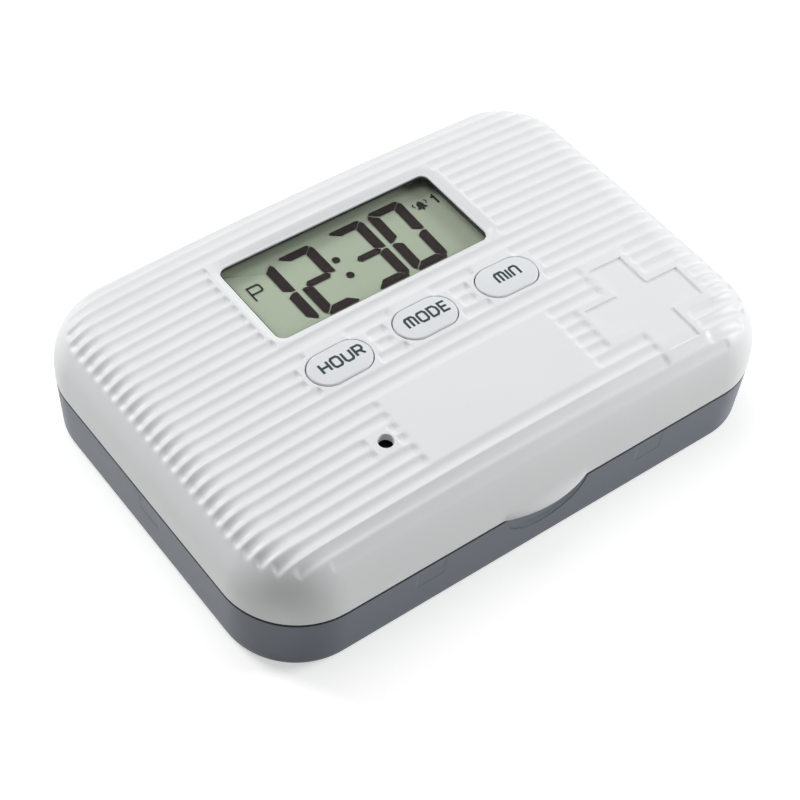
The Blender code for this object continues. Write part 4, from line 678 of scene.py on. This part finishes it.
def notched(points):
    """Lowers the top of the front wall where the cover's latch tongue comes down."""
    across = np.abs(points[..., 0]) < NOTCH_HALF
    front = across & (points[..., 1] < -DEPTH / 2 + NOTCH_DEPTH)
    low = np.minimum(points[..., 2], TRAY_TOP - NOTCH_DROP)
    points[..., 2] = np.where(front, low, points[..., 2])
    return points


def pill_tray():
    """The tray of six compartments, their floors turned up at the edges."""
    skin = Skin()
    edge = []
    floor_z = TRAY_BOTTOM + TRAY_FLOOR
    for place in compartment_places():
        region, inside = tray_loops(*place)
        rings = [level(region, TRAY_TOP), level(inside(-TRAY_EDGE), TRAY_TOP)]
        for down, outward in quarter_round(TRAY_EDGE):
            rings.append(level(inside(-outward), TRAY_TOP - down))
        for inward, up in quarter_round(FLOOR_CURVE, np.linspace(0, 90, 9)):
            rings.append(level(inside(inward), floor_z + up))
        skin.grid(notched(np.stack(rings)), around=True)
        skin.fan(rings[-1])
        edge.append(region)
    edge = np.concatenate(edge)
    on_edge = edge[np.abs(inset_of(edge[:, 0], edge[:, 1])[0] - TRAY_INSET) < 1e-3]
    on_edge = on_edge[np.argsort(np.arctan2(on_edge[:, 1], on_edge[:, 0]))]
    wall = on_edge[np.linalg.norm(on_edge - np.roll(on_edge, 1, 0), axis=1) > 5e-3]
    sides = np.stack([level(wall, z) for z in (TRAY_TOP, TRAY_BOTTOM)])
    skin.grid(notched(sides), around=True, flip=True)
    skin.fan(level(wall, TRAY_BOTTOM), flip=True)
    return skin.object("pill_tray_moulded")


# Buttons and their legends

CAP_PROUD, CAP_DOME, CAP_EDGE, CAP_FADE = 0.15, 0.12, 0.3, 2.6
FLANGE, FLANGE_THICK, FLANGE_FIT = 0.8, 1.0, 0.3
STEM_RADIUS, STEM_LOW = 1.6, 22.6
INK_PROUD = 0.02


def cap_height(place, x, y):
    """Top of a button: the lid's surface and a shallow pillow that fades towards its edge."""
    gap = outline_gap(x, y, place, CAP_HALF, CAP_HALF[1] - 1e-3)
    return lid_surface(x, y) + CAP_PROUD + CAP_DOME * smooth(-gap / CAP_FADE)


def button_cap(name, place):
    """A capsule cap with a rounded edge, its flange under the roof and the stem below."""
    low = float(lid_surface(*map(np.array, place))) - LID_WALL - FLANGE_FIT
    foot = low - FLANGE_THICK
    middle = np.array(place) + (capsule_loop(place, CAP_HALF, 0) - place) * 0.001
    stem = middle + capsule_loop((0, 0), (STEM_RADIUS, STEM_RADIUS), 0)
    rings = [level(stem, STEM_LOW), level(stem, foot)]
    rings += [level(capsule_loop(place, CAP_HALF, FLANGE), z) for z in (foot, low)]
    rings.append(level(capsule_loop(place, CAP_HALF, 0), low))
    for inward, down in quarter_round(CAP_EDGE, np.linspace(0, 90, 6)):
        loop = capsule_loop(place, CAP_HALF, -inward)
        rings.append(level(loop, cap_height(place, loop[:, 0], loop[:, 1]) - down))
    for inward in (0.6, 1.0, 1.5, 2.1, 2.9, 3.6):
        loop = capsule_loop(place, CAP_HALF, -inward)
        rings.append(level(loop, cap_height(place, loop[:, 0], loop[:, 1])))
    skin = Skin()
    skin.closed(rings)
    return skin.object(f"{name}_button_cap")


GLYPH_HEIGHT = 2.2
GLYPHS = {
    "H": (2.0, [[(0, 0), (0, 2.2)], [(0, 1.1), (2, 1.1)], [(2, 0), (2, 2.2)]]),
    "O": (2.1, [[
        (0.4, 0), (1.7, 0), (2.1, 0.4), (2.1, 1.8), (1.7, 2.2),
        (0.4, 2.2), (0, 1.8), (0, 0.4), (0.4, 0), (0.8, 0),
    ]]),
    "U": (2.0, [[(0, 2.2), (0, 0.4), (0.4, 0), (1.6, 0), (2, 0.4), (2, 2.2)]]),
    "R": (2.0, [
        [(0, 0), (0, 2.2), (1.6, 2.2), (2, 1.8), (2, 1.35), (1.6, 0.95), (0, 0.95)],
        [(1.1, 0.95), (2, 0)],
    ]),
    "M": (2.4, [
        [(0, 0), (0, 1.8), (0.4, 2.2), (2, 2.2), (2.4, 1.8), (2.4, 0)],
        [(1.2, 0), (1.2, 2.2)],
    ]),
    "D": (2.0, [[(0, 0), (0, 2.2), (1.4, 2.2), (2, 1.6), (2, 0.6), (1.4, 0), (-0.15, 0)]]),
    "E": (1.8, [[(1.8, 2.2), (0, 2.2), (0, 0), (1.8, 0)], [(0, 1.1), (1.6, 1.1)]]),
    "I": (0.0, [[(0, 0), (0, 2.2)]]),
    "N": (1.9, [[(0, 0), (0, 1.8), (0.4, 2.2), (1.5, 2.2), (1.9, 1.8), (1.9, 0)]]),
}


def ribbon(path, width):
    """Left and right edges of a stroke along a path, mitred at its corners."""
    path = np.array(path, float)
    along = np.diff(path, axis=0)
    along /= np.linalg.norm(along, axis=1)[:, None]
    side = np.stack([-along[:, 1], along[:, 0]], -1)
    before = np.concatenate([side[:1], side])
    after = np.concatenate([side, side[-1:]])
    mitre = before + after
    mitre /= (mitre * after).sum(1)[:, None]
    return path + mitre * width / 2, path - mitre * width / 2


def legend(name, place, word, centre, width=0.5, gap=0.78, scale=0.8, tall=1.02):
    """A printed word on a button: strokes that lie on its top, a fiftieth of a millimetre proud."""
    skin = Skin()
    total = sum(GLYPHS[letter][0] * scale for letter in word) + gap * (len(word) - 1)
    x, y = centre[0] - total / 2, centre[1] - GLYPH_HEIGHT / 2 * tall
    for letter in word:
        wide, strokes = GLYPHS[letter]
        for stroke in strokes:
            path = np.array(stroke) * (scale, tall) + (x, y)
            left, right = ribbon(path, width)
            edges = []
            for line in (right, left):
                fine = [line[:1]]
                for a, b, pa, pb in zip(line, line[1:], path, path[1:]):
                    steps = max(2, int(np.linalg.norm(pb - pa) / 0.25) + 1)
                    fine.append(a + (b - a) * np.linspace(0, 1, steps)[1:, None])
                fine = np.concatenate(fine)
                edges.append(level(fine, cap_height(place, fine[:, 0], fine[:, 1]) + INK_PROUD))
            skin.grid(np.stack(edges))
        x += wide * scale + gap
    return skin.object(f"{name}_legend", merge=1e-4)


# Display


def segment_shapes(h, w=8.0):
    """The seven strokes of a digit, a to g, as corner points in a cell of this height and width."""
    top = [
        (0.65, h - 0.4), (2.55, h - 1.85), (w - 2.2, h - 1.85),
        (w - 0.45, h - 0.4), (w - 1.0, h), (1.05, h),
    ]
    bottom = [(0.85, 0), (w - 0.95, 0), (w - 0.6, 0.4), (w - 2.3, 1.88), (2.35, 1.88), (0.62, 0.3)]
    middle = [
        (1.25, 8.52), (1.9, 7.75), (w - 1.9, 7.75),
        (w - 1.25, 8.52), (w - 1.9, 9.3), (1.9, 9.3),
    ]
    upper = [
        (w - 2.2, 9.62), (w - 1.25, 9.0), (w - 0.75, 8.65), (w, 8.65),
        (w, h - 1.3), (w - 0.42, h - 0.55), (w - 2.2, h - 2.02),
    ]
    lower = [
        (w - 2.2, 2.1), (w - 0.5, 0.55), (w, 1.3), (w, 8.1),
        (w - 0.6, 8.32), (w - 1.3, 8.15), (w - 2.2, 7.5),
    ]
    left = [[(w - x, y) for x, y in shape[::-1]] for shape in (upper, lower)]
    return dict(zip("abcdefg", (top, upper, lower, bottom, left[1], left[0], middle)))


# Each digit: its cell's left side, its height, its lean and its lit strokes
DIGITS = {
    "1": (-21.8, 17.1, 0.0, "bc"),
    "2": (-12.75, 17.1, 0.0, "abged"),
    "3": (-1.15, 17.3, 0.012, "abgcd"),
    "0": (7.9, 17.5, 0.035, "abcdef"),
}
DIGIT_FOOT = 8.3
COLON_X, COLON_DOTS, COLON_RADIUS = -3.15, (19.15, 14.55), 0.8

# The small marks as lines with a width: the afternoon mark, then the alarm's number and waves
MARK_LINES = [
    (
        [
            (-21.2, 18.55), (-21.2, 22.1), (-19.0, 22.1), (-18.65, 21.75),
            (-18.65, 20.65), (-19.0, 20.3), (-21.2, 20.3),
        ],
        0.35,
    ),
    ([(21.9, 22.7), (22.45, 23.2), (22.45, 20.9)], 0.45),
    ([(17.75, 22.2), (17.45, 22.7), (17.75, 23.2)], 0.22),
    ([(20.3, 22.2), (20.6, 22.7), (20.3, 23.2)], 0.22),
]
BELL = [
    (17.8, 21.35), (20.2, 21.35), (19.75, 21.9), (19.7, 22.6), (19.4, 23.1),
    (19.1, 23.25), (18.9, 23.25), (18.6, 23.1), (18.3, 22.6), (18.25, 21.9),
]
BELL_SHIFT, CLAPPER, CLAPPER_RADIUS = (0.03, 0.0), (18.97, 21.1), 0.25


def disc(centre, radius, steps=24):
    """A round mark in plan."""
    turn = np.linspace(0, 2 * np.pi, steps, endpoint=False)
    return np.array(centre) + radius * np.stack([np.cos(turn), np.sin(turn)], -1)


def display_marks():
    """The clock's digits, its colon, the afternoon mark and the alarm mark, as dark cells."""
    skin = Skin()
    z = LCD_Z + 0.01
    for left, height, lean, lit in DIGITS.values():
        shapes = segment_shapes(height)
        for key in lit:
            shape = np.array(shapes[key])
            shape = shape + np.stack([lean * (shape[:, 1] - height / 2), 0 * shape[:, 1]], -1)
            skin.fan(level(shape + (left, DIGIT_FOOT), z))
    for y in COLON_DOTS:
        skin.fan(level(disc((COLON_X, y), COLON_RADIUS), z))
    for path, width in MARK_LINES:
        left, right = ribbon(path, width)
        skin.grid(np.stack([level(right, z), level(left, z)]))
    skin.fan(level(np.array(BELL) - BELL_SHIFT, z))
    skin.fan(level(disc(CLAPPER, CLAPPER_RADIUS, 12), z))
    return skin.object("clock_marks", merge=1e-4)


def plate(skin, outline, low, high, ease=0.1):
    """A flat plate with eased edges, from a function that gives its outline at an inset."""
    steps = ((ease, low), (0, low + ease), (0, high - ease), (ease, high))
    skin.closed([level(outline(inset), z) for inset, z in steps])


def window_loop(grow):
    """The window's outline, grown by a distance."""
    half = (WINDOW_HALF[0] + grow, WINDOW_HALF[1] + grow)
    return rounded_loop(np.array(WINDOW), half, max(WINDOW_CORNER + grow, 0.5), 8, (1, 1))


def display_lens():
    """The clear lens: a plate under the rim with a raised middle that fills the window."""
    high = WINDOW_Z - RIM_THICK - LENS_FIT
    steps = (
        (1.4, high - 1), (1.5, high - 0.9), (1.5, high), (-LENS_FIT, high),
        (-LENS_FIT, WINDOW_Z - 0.25), (-LENS_FIT - 0.1, WINDOW_Z - 0.15),
    )
    skin = Skin()
    skin.closed([level(window_loop(grow), z) for grow, z in steps])
    return skin.object("display_lens_clear")


def display_frame():
    """The black frame that holds the panel: a box with a pocket below and a sight hole above."""

    def box_loop(x0, x1, y0, y1, radius):
        middle, half = np.array([(x0 + x1) / 2, (y0 + y1) / 2]), ((x1 - x0) / 2, (y1 - y0) / 2)
        return rounded_loop(middle, half, radius, 6, (1, 1))

    ease, low, high, roof = 0.15, LCD_Z - 4.25, LCD_Z + 0.7, LCD_Z + 0.2
    x0, x1, y0, y1 = -27.7, 26.1, 3.0, 30.0
    outer = box_loop(x0, x1, y0, y1, 0.6)
    eased = box_loop(x0 + ease, x1 - ease, y0 + ease, y1 - ease, 0.5)
    sight = box_loop(-25.6, 23.75, 5.2, 28.15, 2.0)
    pocket = box_loop(-26.5, 24.9, 4.2, 28.8, 0.4)
    steps = (
        (outer, low), (outer, high - ease), (eased, high), (sight, high),
        (sight, roof), (pocket, roof), (pocket, low), (outer, low),
    )
    skin = Skin()
    skin.grid(np.stack([level(loop, z) for loop, z in steps]), around=True)
    return skin.object("display_frame_black")


def display_panel():
    """The panel's reflector and the glass over it, two plates that end a hair apart."""

    def outline(shrink):
        half = (WINDOW_HALF[0] + PANEL_BORDER - shrink, WINDOW_HALF[1] + PANEL_BORDER - shrink)
        return rounded_loop(np.array(WINDOW), half, 0.3, 3)

    back, glass = Skin(), Skin()
    plate(back, outline, LCD_Z - 2.0, LCD_Z - 0.12, 0.05)
    plate(glass, outline, LCD_Z - 0.1, LCD_Z, 0.03)
    return back.object("display_reflector"), glass.object("display_glass")


def refined(node, name, bevel=0.12, angle=35):
    """A copy of a solid's mesh with its doubles merged, flat faces joined and edges eased."""
    mesh = NODES[node].data.copy()
    mesh.materials.clear()
    work = bmesh.new()
    work.from_mesh(mesh)
    bmesh.ops.remove_doubles(work, verts=work.verts, dist=0.002 * MM)
    bmesh.ops.dissolve_limit(
        work, angle_limit=math.radians(1), verts=work.verts, edges=work.edges
    )
    work.to_mesh(mesh)
    work.free()
    thing = shown(name, mesh, angle)
    if bevel:
        ease = thing.modifiers.new("ease", "BEVEL")
        ease.width, ease.segments = bevel * MM, 2
        ease.limit_method, ease.angle_limit = "ANGLE", math.radians(angle)
        ease.harden_normals = True
    return thing


# Materials

# Along X, in millimetres: the cells' wrappers, their plus bands and how sharp their edges are
WRAP_LEFT, WRAP_RIGHT, WRAP_BAND, WRAP_EDGE = -12.0, 30.4, 13.0, 0.1
BOARD_SCALE = 330.0


class Value:
    """A socket of a node tree that plain arithmetic works on."""

    def __init__(self, nodes, socket):
        self.nodes, self.socket = nodes, socket

    def maths(self, operation, first, second):
        return self.nodes.node("ShaderNodeMath", {"operation": operation}, {0: first, 1: second})

    def __add__(self, other):
        return self.maths("ADD", self, other)

    def __radd__(self, other):
        return self.maths("ADD", other, self)

    def __sub__(self, other):
        return self.maths("SUBTRACT", self, other)

    def __rsub__(self, other):
        return self.maths("SUBTRACT", other, self)

    def __mul__(self, other):
        return self.maths("MULTIPLY", self, other)


class Nodes:
    """A node tree and the ways to add nodes to it."""

    def __init__(self, tree):
        self.tree = tree

    def put(self, socket, value):
        """Links a socket to another, or sets its value."""
        if isinstance(value, Value):
            self.tree.links.new(value.socket, socket)
        elif socket.type == "RGBA":
            socket.default_value = (*value[:3], 1.0)
        else:
            socket.default_value = value

    def node(self, kind, settings, inputs, output=0):
        """Adds a node, sets it and its inputs, and gives one of its outputs."""
        made = self.tree.nodes.new(kind)
        for key, value in settings.items():
            setattr(made, key, value)
        for key, value in inputs.items():
            self.put(made.inputs[key], value)
        return Value(self, made.outputs[output])

    def vector(self, operation, *values, output=0):
        """What a Vector Math node makes of these vectors."""
        inputs = dict(enumerate(values))
        return self.node("ShaderNodeVectorMath", {"operation": operation}, inputs, output)


class Paint(Nodes):
    """A material with one surface shader, and the patterns that its sockets take."""

    def __init__(self, name):
        self.material = bpy.data.materials.new(name)
        self.material.use_nodes = True
        super().__init__(self.material.node_tree)
        self.shader = self.tree.nodes["Principled BSDF"]
        self.place = self.node("ShaderNodeTexCoord", {}, {}, "Object")

    def noise(self, period, detail=2.0):
        """Noise whose lumps are about this many millimetres apart."""
        inputs = {"Vector": self.place, "Scale": 1000 / period, "Detail": detail}
        return self.node("ShaderNodeTexNoise", {}, inputs)

    def along(self, axis):
        """The place along X, Y or Z in millimetres."""
        return self.node("ShaderNodeSeparateXYZ", {}, {0: self.place}, axis) * 1000.0

    def mix(self, share, first, second):
        """The first colour where the share is 0, the second where it is 1."""
        inputs = {0: share, 6: first, 7: second}
        return self.node("ShaderNodeMix", {"data_type": "RGBA"}, inputs, 2)

    def share(self, value, low, high):
        """0 where the value is low, 1 where it is high, and straight between."""
        inputs = {"Value": value, "From Min": low, "From Max": high}
        return self.node("ShaderNodeMapRange", {"clamp": True}, inputs)

    def bump(self, height):
        """A normal from a height in millimetres."""
        inputs = {"Height": height, "Strength": 1.0, "Distance": MM}
        return self.node("ShaderNodeBump", {}, inputs)

    def finish(self, **sockets):
        """Sets or links the shader's sockets, named in small letters."""
        for name, value in sockets.items():
            socket = name.replace("_", " ").title().replace("Ior", "IOR")
            self.put(self.shader.inputs[socket], value)
        return self.material


def seen(red, green, blue):
    """A colour as a screen shows it, 0 to 255, in a shader's linear values."""
    share = np.array([red, green, blue]) / 255
    linear = np.where(share <= 0.04045, share / 12.92, ((share + 0.055) / 1.055) ** 2.4)
    return tuple(float(value) for value in linear)


def rim_shade_share(paint):
    """Painted shade: 1 on the outer edge of the base's rim, which lies in shade in the gap under the
    lid, and 0 elsewhere.

    The place in plan is held against the case's round-cornered outline, whose distance from
    the corners' inner rectangle is |max(|p| - (a, b), 0)|. The back is left as it is.
    """
    box = ((WIDTH / 2 - CORNER) * MM, (DEPTH / 2 - CORNER) * MM, 1.0)
    past = paint.vector("SUBTRACT", paint.vector("ABSOLUTE", paint.place), box)
    past = paint.vector("MAXIMUM", past, (0, 0, 0))
    reach = paint.vector("LENGTH", past, output=1) * 1000.0
    edge = paint.share(reach, CORNER - 0.6, CORNER - 0.5)
    height = paint.share(paint.along("Z"), BASE_TOP - 0.26, BASE_TOP - 0.2)
    return edge * height * (1.0 - paint.share(paint.along("Y"), 30.0, 34.0))


def moulded(name, colour, rough, tone=0.03, broad=0.02, grain=0.003, shine=0.5, rim_shade=0):
    """Moulded plastic: slow drifts of tone and flatness, and a fine even grain.

    A rim shade is how much darker the outer edge of the base's rim is painted, a painted shade for the
    gap under the lid.
    """
    paint = Paint(name)
    drift, fine = paint.noise(16.0), paint.noise(0.35, 3.0)
    darker = tuple(value * (1 - tone) for value in colour)
    surface = paint.mix(drift, darker, colour)
    # Painted shade: the outer edge of the base's rim is darkened where the lid shades it.
    if rim_shade:
        surface = paint.mix(rim_shade_share(paint) * rim_shade, surface, (0.0, 0.0, 0.0))
    return paint.finish(
        base_color=surface,
        specular_ior_level=shine,
        roughness=drift * 0.08 + fine * 0.06 + (rough - 0.07),
        normal=paint.bump(drift * broad + fine * grain),
    )


def clear_coat(name, least, rough):
    """Clear plastic or glass: only its gloss shows, least + 0.6 f^5, f = 1 - cosine of the slant."""
    paint = Paint(name)
    slant = paint.node("ShaderNodeLayerWeight", {}, {"Blend": 0.5}, "Facing")
    squared = slant * slant
    gloss = squared * squared * slant * 0.6 + least
    return paint.finish(
        base_color=(1.0, 1.0, 1.0),
        metallic=1.0,
        roughness=paint.noise(9.0) * 0.03 + rough,
        alpha=gloss,
    )


def display_grey():
    """The panel's reflector: grey green, painted a little paler at its left as painted light across
    it, with a faint speckle.
    """
    paint = Paint("display_grey")
    speckle = paint.noise(0.12, 2.0)
    left, right = WINDOW[0] - WINDOW_HALF[0], WINDOW[0] + WINDOW_HALF[0]
    # Painted light: the tone runs from paler at the left to darker at the right, standing in for
    # uneven light on the panel.
    shade = paint.share(paint.along("X"), left, right) + (speckle - 0.5) * 0.3
    return paint.finish(
        base_color=paint.mix(shade, seen(184, 198, 175), seen(179, 190, 169)),
        roughness=speckle * 0.1 + 0.55,
        specular_ior_level=0.15,
    )


def ink(name, colour):
    """A dark print with a slightly uneven film."""
    paint = Paint(name)
    film = paint.noise(0.5, 3.0)
    lighter = tuple(value * 1.35 for value in colour)
    return paint.finish(
        base_color=paint.mix(film, colour, lighter),
        roughness=film * 0.15 + 0.5,
        specular_ior_level=0.15,
    )


def metal(name, colour, rough):
    """Metal with fine drawn lines along X and a little unevenness."""
    paint = Paint(name)
    inputs = {"Vector": paint.place, "Scale": (0.08, 1.0, 1.0)}
    stretch = paint.node("ShaderNodeMapping", {}, inputs)
    lines = paint.node("ShaderNodeTexNoise", {}, {"Vector": stretch, "Scale": 1000 / 0.3})
    worn = paint.noise(4.0)
    darker = tuple(value * 0.86 for value in colour)
    return paint.finish(
        base_color=paint.mix(worn, darker, colour),
        metallic=1.0,
        roughness=lines * 0.14 + rough,
        normal=paint.bump(lines * 0.002),
    )


def board_green():
    """Circuit board: green mask over a net of slightly raised, paler tracks."""
    paint = Paint("board_green")
    inputs = {"Vector": paint.place, "Scale": BOARD_SCALE, "Randomness": 0.35}
    net = paint.node("ShaderNodeTexVoronoi", {"feature": "DISTANCE_TO_EDGE"}, inputs)
    tracks = 1 - paint.share(net, 0.05, 0.09)
    return paint.finish(
        base_color=paint.mix(tracks, (0.02, 0.16, 0.07), (0.05, 0.30, 0.13)),
        roughness=paint.noise(2.0) * 0.1 + 0.35,
        normal=paint.bump(tracks * 0.03),
    )


def cell_wrap(nub_side):
    """A cell's wrapper, dark with a coppery band at its plus end and bare steel at its ends."""
    paint = Paint(f"cell_wrap_{'left' if nub_side < 0 else 'right'}")
    x = paint.along("X")

    def past(place):
        return paint.share(x, place, place + WRAP_EDGE)

    if nub_side < 0:
        copper = 1 - past(WRAP_LEFT + WRAP_BAND - WRAP_EDGE)
    else:
        copper = past(WRAP_RIGHT - WRAP_BAND)
    bare = (1 - past(WRAP_LEFT)) + past(WRAP_RIGHT)
    wrap = paint.mix(copper, (0.02, 0.022, 0.026), (0.45, 0.22, 0.08))
    return paint.finish(
        base_color=paint.mix(bare, wrap, (0.55, 0.55, 0.56)),
        metallic=bare * 0.9,
        roughness=paint.noise(1.2, 4.0) * 0.12 + 0.26,
    )


WHITE = moulded("white_shell", seen(238, 240, 241), 0.40)
KEYS = moulded("white_keys", seen(232, 235, 237), 0.42, broad=0.008)
INNER = moulded("inner_white", seen(226, 228, 229), 0.48, grain=0.006)
# The slate shell carries a painted shade on the outer edge of its rim, under the lid.
SLATE = moulded(
    "slate_shell", seen(97, 106, 118), 0.36, tone=0.06, broad=0.015, shine=0.3, rim_shade=0.85
)
TRAY = moulded("slate_tray", seen(116, 123, 132), 0.42, tone=0.06, grain=0.006)
BLACK = moulded("black_plastic_finish", seen(34, 34, 35), 0.45, tone=0.1)
RUBBER = moulded("contact_rubber_finish", seen(126, 120, 124), 0.75, tone=0.12, grain=0.012)
SILICONE = moulded("dome_silicone", seen(190, 192, 194), 0.62, grain=0.004)
RED = moulded("red_insulation", seen(176, 40, 36), 0.45, tone=0.1)
DARK = moulded("black_insulation", seen(36, 36, 38), 0.45, tone=0.1)
STEEL = metal("steel_finish", (0.60, 0.60, 0.61), 0.22)
LENS = clear_coat("lens_gloss", 0.005, 0.02)
GLASS = clear_coat("panel_gloss", 0.002, 0.03)
REFLECTOR = display_grey()
DIGIT_INK = ink("digit_ink", seen(24, 13, 13))
LEGEND_INK = ink("legend_ink", seen(60, 70, 75))


# Assembly


def fit(thing, body, slot, material, *nodes):
    """Gives a piece its finish and its body, and hides the solids that it stands for; the slot is not
    used.
    """
    thing.data.materials.append(material)
    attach(thing, body)
    if nodes:
        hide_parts(*nodes)
    return thing


def dark_sides(thing, material):
    """Puts a second material on the faces that stand upright."""
    thing.data.materials.append(material)
    normals = np.empty(len(thing.data.polygons) * 3)
    thing.data.polygons.foreach_get("normal", normals)
    upright = (np.abs(normals.reshape(-1, 3)[:, 2]) < 0.5).astype(np.int32)
    thing.data.polygons.foreach_set("material_index", upright)


def repaint(node, material):
    """Gives a solid that stays as it is its finish."""
    for slot in NODES[node].material_slots:
        slot.material = material


fit(top_cover(), "lid", "white_plastic", WHITE, "top_cover")
fit(base_shell(), "base", "slate_plastic", SLATE, "base_shell")
fit(pill_tray(), "base", "tray_plastic", TRAY, "pill_tray")

LEGENDS = {"hour": "HOUR", "mode": "MODE", "min": "MIN"}
LEGEND_SHIFT = {"hour": 0.6, "mode": 0.55, "min": 0.35}
for key, place in BUTTONS.items():
    body = f"{key}_button"
    fit(button_cap(key, place), body, "key_plastic", KEYS, body)
    words = legend(key, place, LEGENDS[key], (place[0] + LEGEND_SHIFT[key], place[1] + 0.3))
    fit(words, body, "black_plastic", LEGEND_INK)

dark_sides(fit(display_lens(), "lid", "clear_lens", LENS, "display_lens"), BLACK)
fit(display_frame(), "lid", "black_plastic", BLACK, "lcd_frame")
reflector, panel_glass = display_panel()
fit(reflector, "lid", "lcd_glass", REFLECTOR, "lcd_panel")
fit(panel_glass, "lid", "clear_lens", GLASS)
fit(display_marks(), "lid", "black_plastic", DIGIT_INK)

fit(refined("inner_cover", "inner_cover_eased"), "lid", "inner_white_plastic", INNER, "inner_cover")
door = refined("battery_door", "battery_door_eased")
fit(door, "lid", "inner_white_plastic", INNER, "battery_door")
SCREWS = ["battery_door_screw"]
SCREWS += [f"{kind}_screw_{i}" for kind in ("inner_cover", "board") for i in (1, 2, 3, 4)]
for node in SCREWS:
    fit(refined(node, f"{node}_eased", 0.08), "lid", "steel", STEEL, node)
for node in ("hinge_pin_left", "hinge_pin_right"):
    fit(refined(node, f"{node}_eased", 0.1), "base", "steel", STEEL, node)

FINISHES = {
    BLACK: ("buzzer", "controller_chip"),
    RUBBER: ("zebra_strip_front", "zebra_strip_back"),
    SILICONE: tuple(f"{key}_button_dome" for key in BUTTONS),
    board_green(): ("circuit_board",),
    STEEL: (
        "quartz_crystal", "battery_plus_contact", "battery_minus_spring", "battery_bridge_spring",
    ),
    cell_wrap(-1): ("battery_cell_back",),
    cell_wrap(1): ("battery_cell_front",),
    RED: ("battery_lead_red",),
    DARK: ("battery_lead_black",),
}
for material, names in FINISHES.items():
    for node in names:
        repaint(node, material)


# Stage, light and camera

FLOOR_HALF = 3.0
LAMP_TARGET = (0.0, 0.0, 0.02)

# The photograph's camera: its turns, and its place from the middle of the split, in metres
AZIMUTH, ELEVATION, ROLL = -0.702570, 0.859029, 0.0815925
CAMERA_SIDE, CAMERA_UP, CAMERA_AWAY = -0.00144333, -0.00839303, 0.36046183


def background_rays(nodes):
    """1 for the rays that should see the plain background, 0 for those that light the object."""
    kinds = ("Camera", "Glossy", "Transmission")
    flags = [nodes.node("ShaderNodeLightPath", {}, {}, f"Is {kind} Ray") for kind in kinds]
    return nodes.node("ShaderNodeMath", {"operation": "MINIMUM"}, {0: sum(flags), 1: 1.0})


def floor():
    """A wide pale floor that keeps the object's shadow near it and is plain white farther off."""
    paint = Paint("floor_white")
    reach = paint.vector("LENGTH", paint.place, output=1) * 1000.0
    white = paint.mix(paint.share(reach, 200.0, 500.0), (0.54, 0.54, 0.54), (1.0, 1.0, 1.0))
    glow = paint.mix(background_rays(paint), (0.0, 0.0, 0.0), white)
    paint.finish(
        base_color=(0.80, 0.80, 0.79),
        roughness=0.9,
        specular_ior_level=0.0,
        emission_color=glow,
        emission_strength=1.0,
    )
    half = FLOOR_HALF
    corners = [(-half, -half, 0), (half, -half, 0), (half, half, 0), (-half, half, 0)]
    mesh = bpy.data.meshes.new("floor")
    mesh.from_pydata(corners, [], [(0, 1, 2, 3)])
    mesh.materials.append(paint.material)
    thing = bpy.data.objects.new("floor", mesh)
    bpy.context.scene.collection.objects.link(thing)


def surroundings(ambient):
    """White for what the camera and gloss see, and a plain level of light from all round."""
    world = bpy.data.worlds.new("surroundings")
    world.use_nodes = True
    bpy.context.scene.world = world
    nodes = Nodes(world.node_tree)
    inputs = {"Value": background_rays(nodes), "To Min": ambient, "To Max": 1.0}
    background = world.node_tree.nodes["Background"]
    nodes.put(background.inputs["Color"], (1.0, 1.0, 1.0))
    nodes.put(background.inputs["Strength"], nodes.node("ShaderNodeMapRange", {}, inputs))


def softbox(name, place, size, watts):
    """A square area lamp that faces the object's middle."""
    data = bpy.data.lights.new(name, "AREA")
    data.shape, data.size, data.energy = "SQUARE", size, watts
    lamp = bpy.data.objects.new(name, data)
    lamp.location = place
    aim = Vector(LAMP_TARGET) - Vector(place)
    lamp.rotation_euler = aim.to_track_quat("-Z", "Y").to_euler()
    bpy.context.scene.collection.objects.link(lamp)


def camera():
    """The photograph's viewpoint, from a fit to the case's outline and grooves."""
    away = Vector(
        (
            math.sin(AZIMUTH) * math.cos(ELEVATION),
            -math.cos(AZIMUTH) * math.cos(ELEVATION),
            math.sin(ELEVATION),
        )
    )
    right = Vector((math.cos(AZIMUTH), math.sin(AZIMUTH), 0.0))
    up = away.cross(right)
    side = right * math.cos(ROLL) + up * math.sin(ROLL)
    head = up * math.cos(ROLL) - right * math.sin(ROLL)
    place = side * CAMERA_SIDE + head * CAMERA_UP + away * CAMERA_AWAY
    place += Vector((0.0, 0.0, SPLIT * MM))
    data = bpy.data.cameras.new("photo_view")
    data.sensor_width, data.lens = 36.0, 87.04
    data.clip_start = 0.01
    thing = bpy.data.objects.new("photo_view", data)
    thing.matrix_world = Matrix.Translation(place) @ Matrix((side, head, away)).transposed().to_4x4()
    bpy.context.scene.collection.objects.link(thing)
    bpy.context.scene.camera = thing


floor()
surroundings(0.12)
softbox("overhead", (0.0, 0.24, 0.88), 0.50, 2.0)
softbox("back_left", (-0.32, 0.72, 0.52), 0.34, 4.9)
softbox("right", (0.76, -0.34, 0.40), 0.40, 5.6)
camera()
bpy.context.scene.view_settings.view_transform = "Standard"
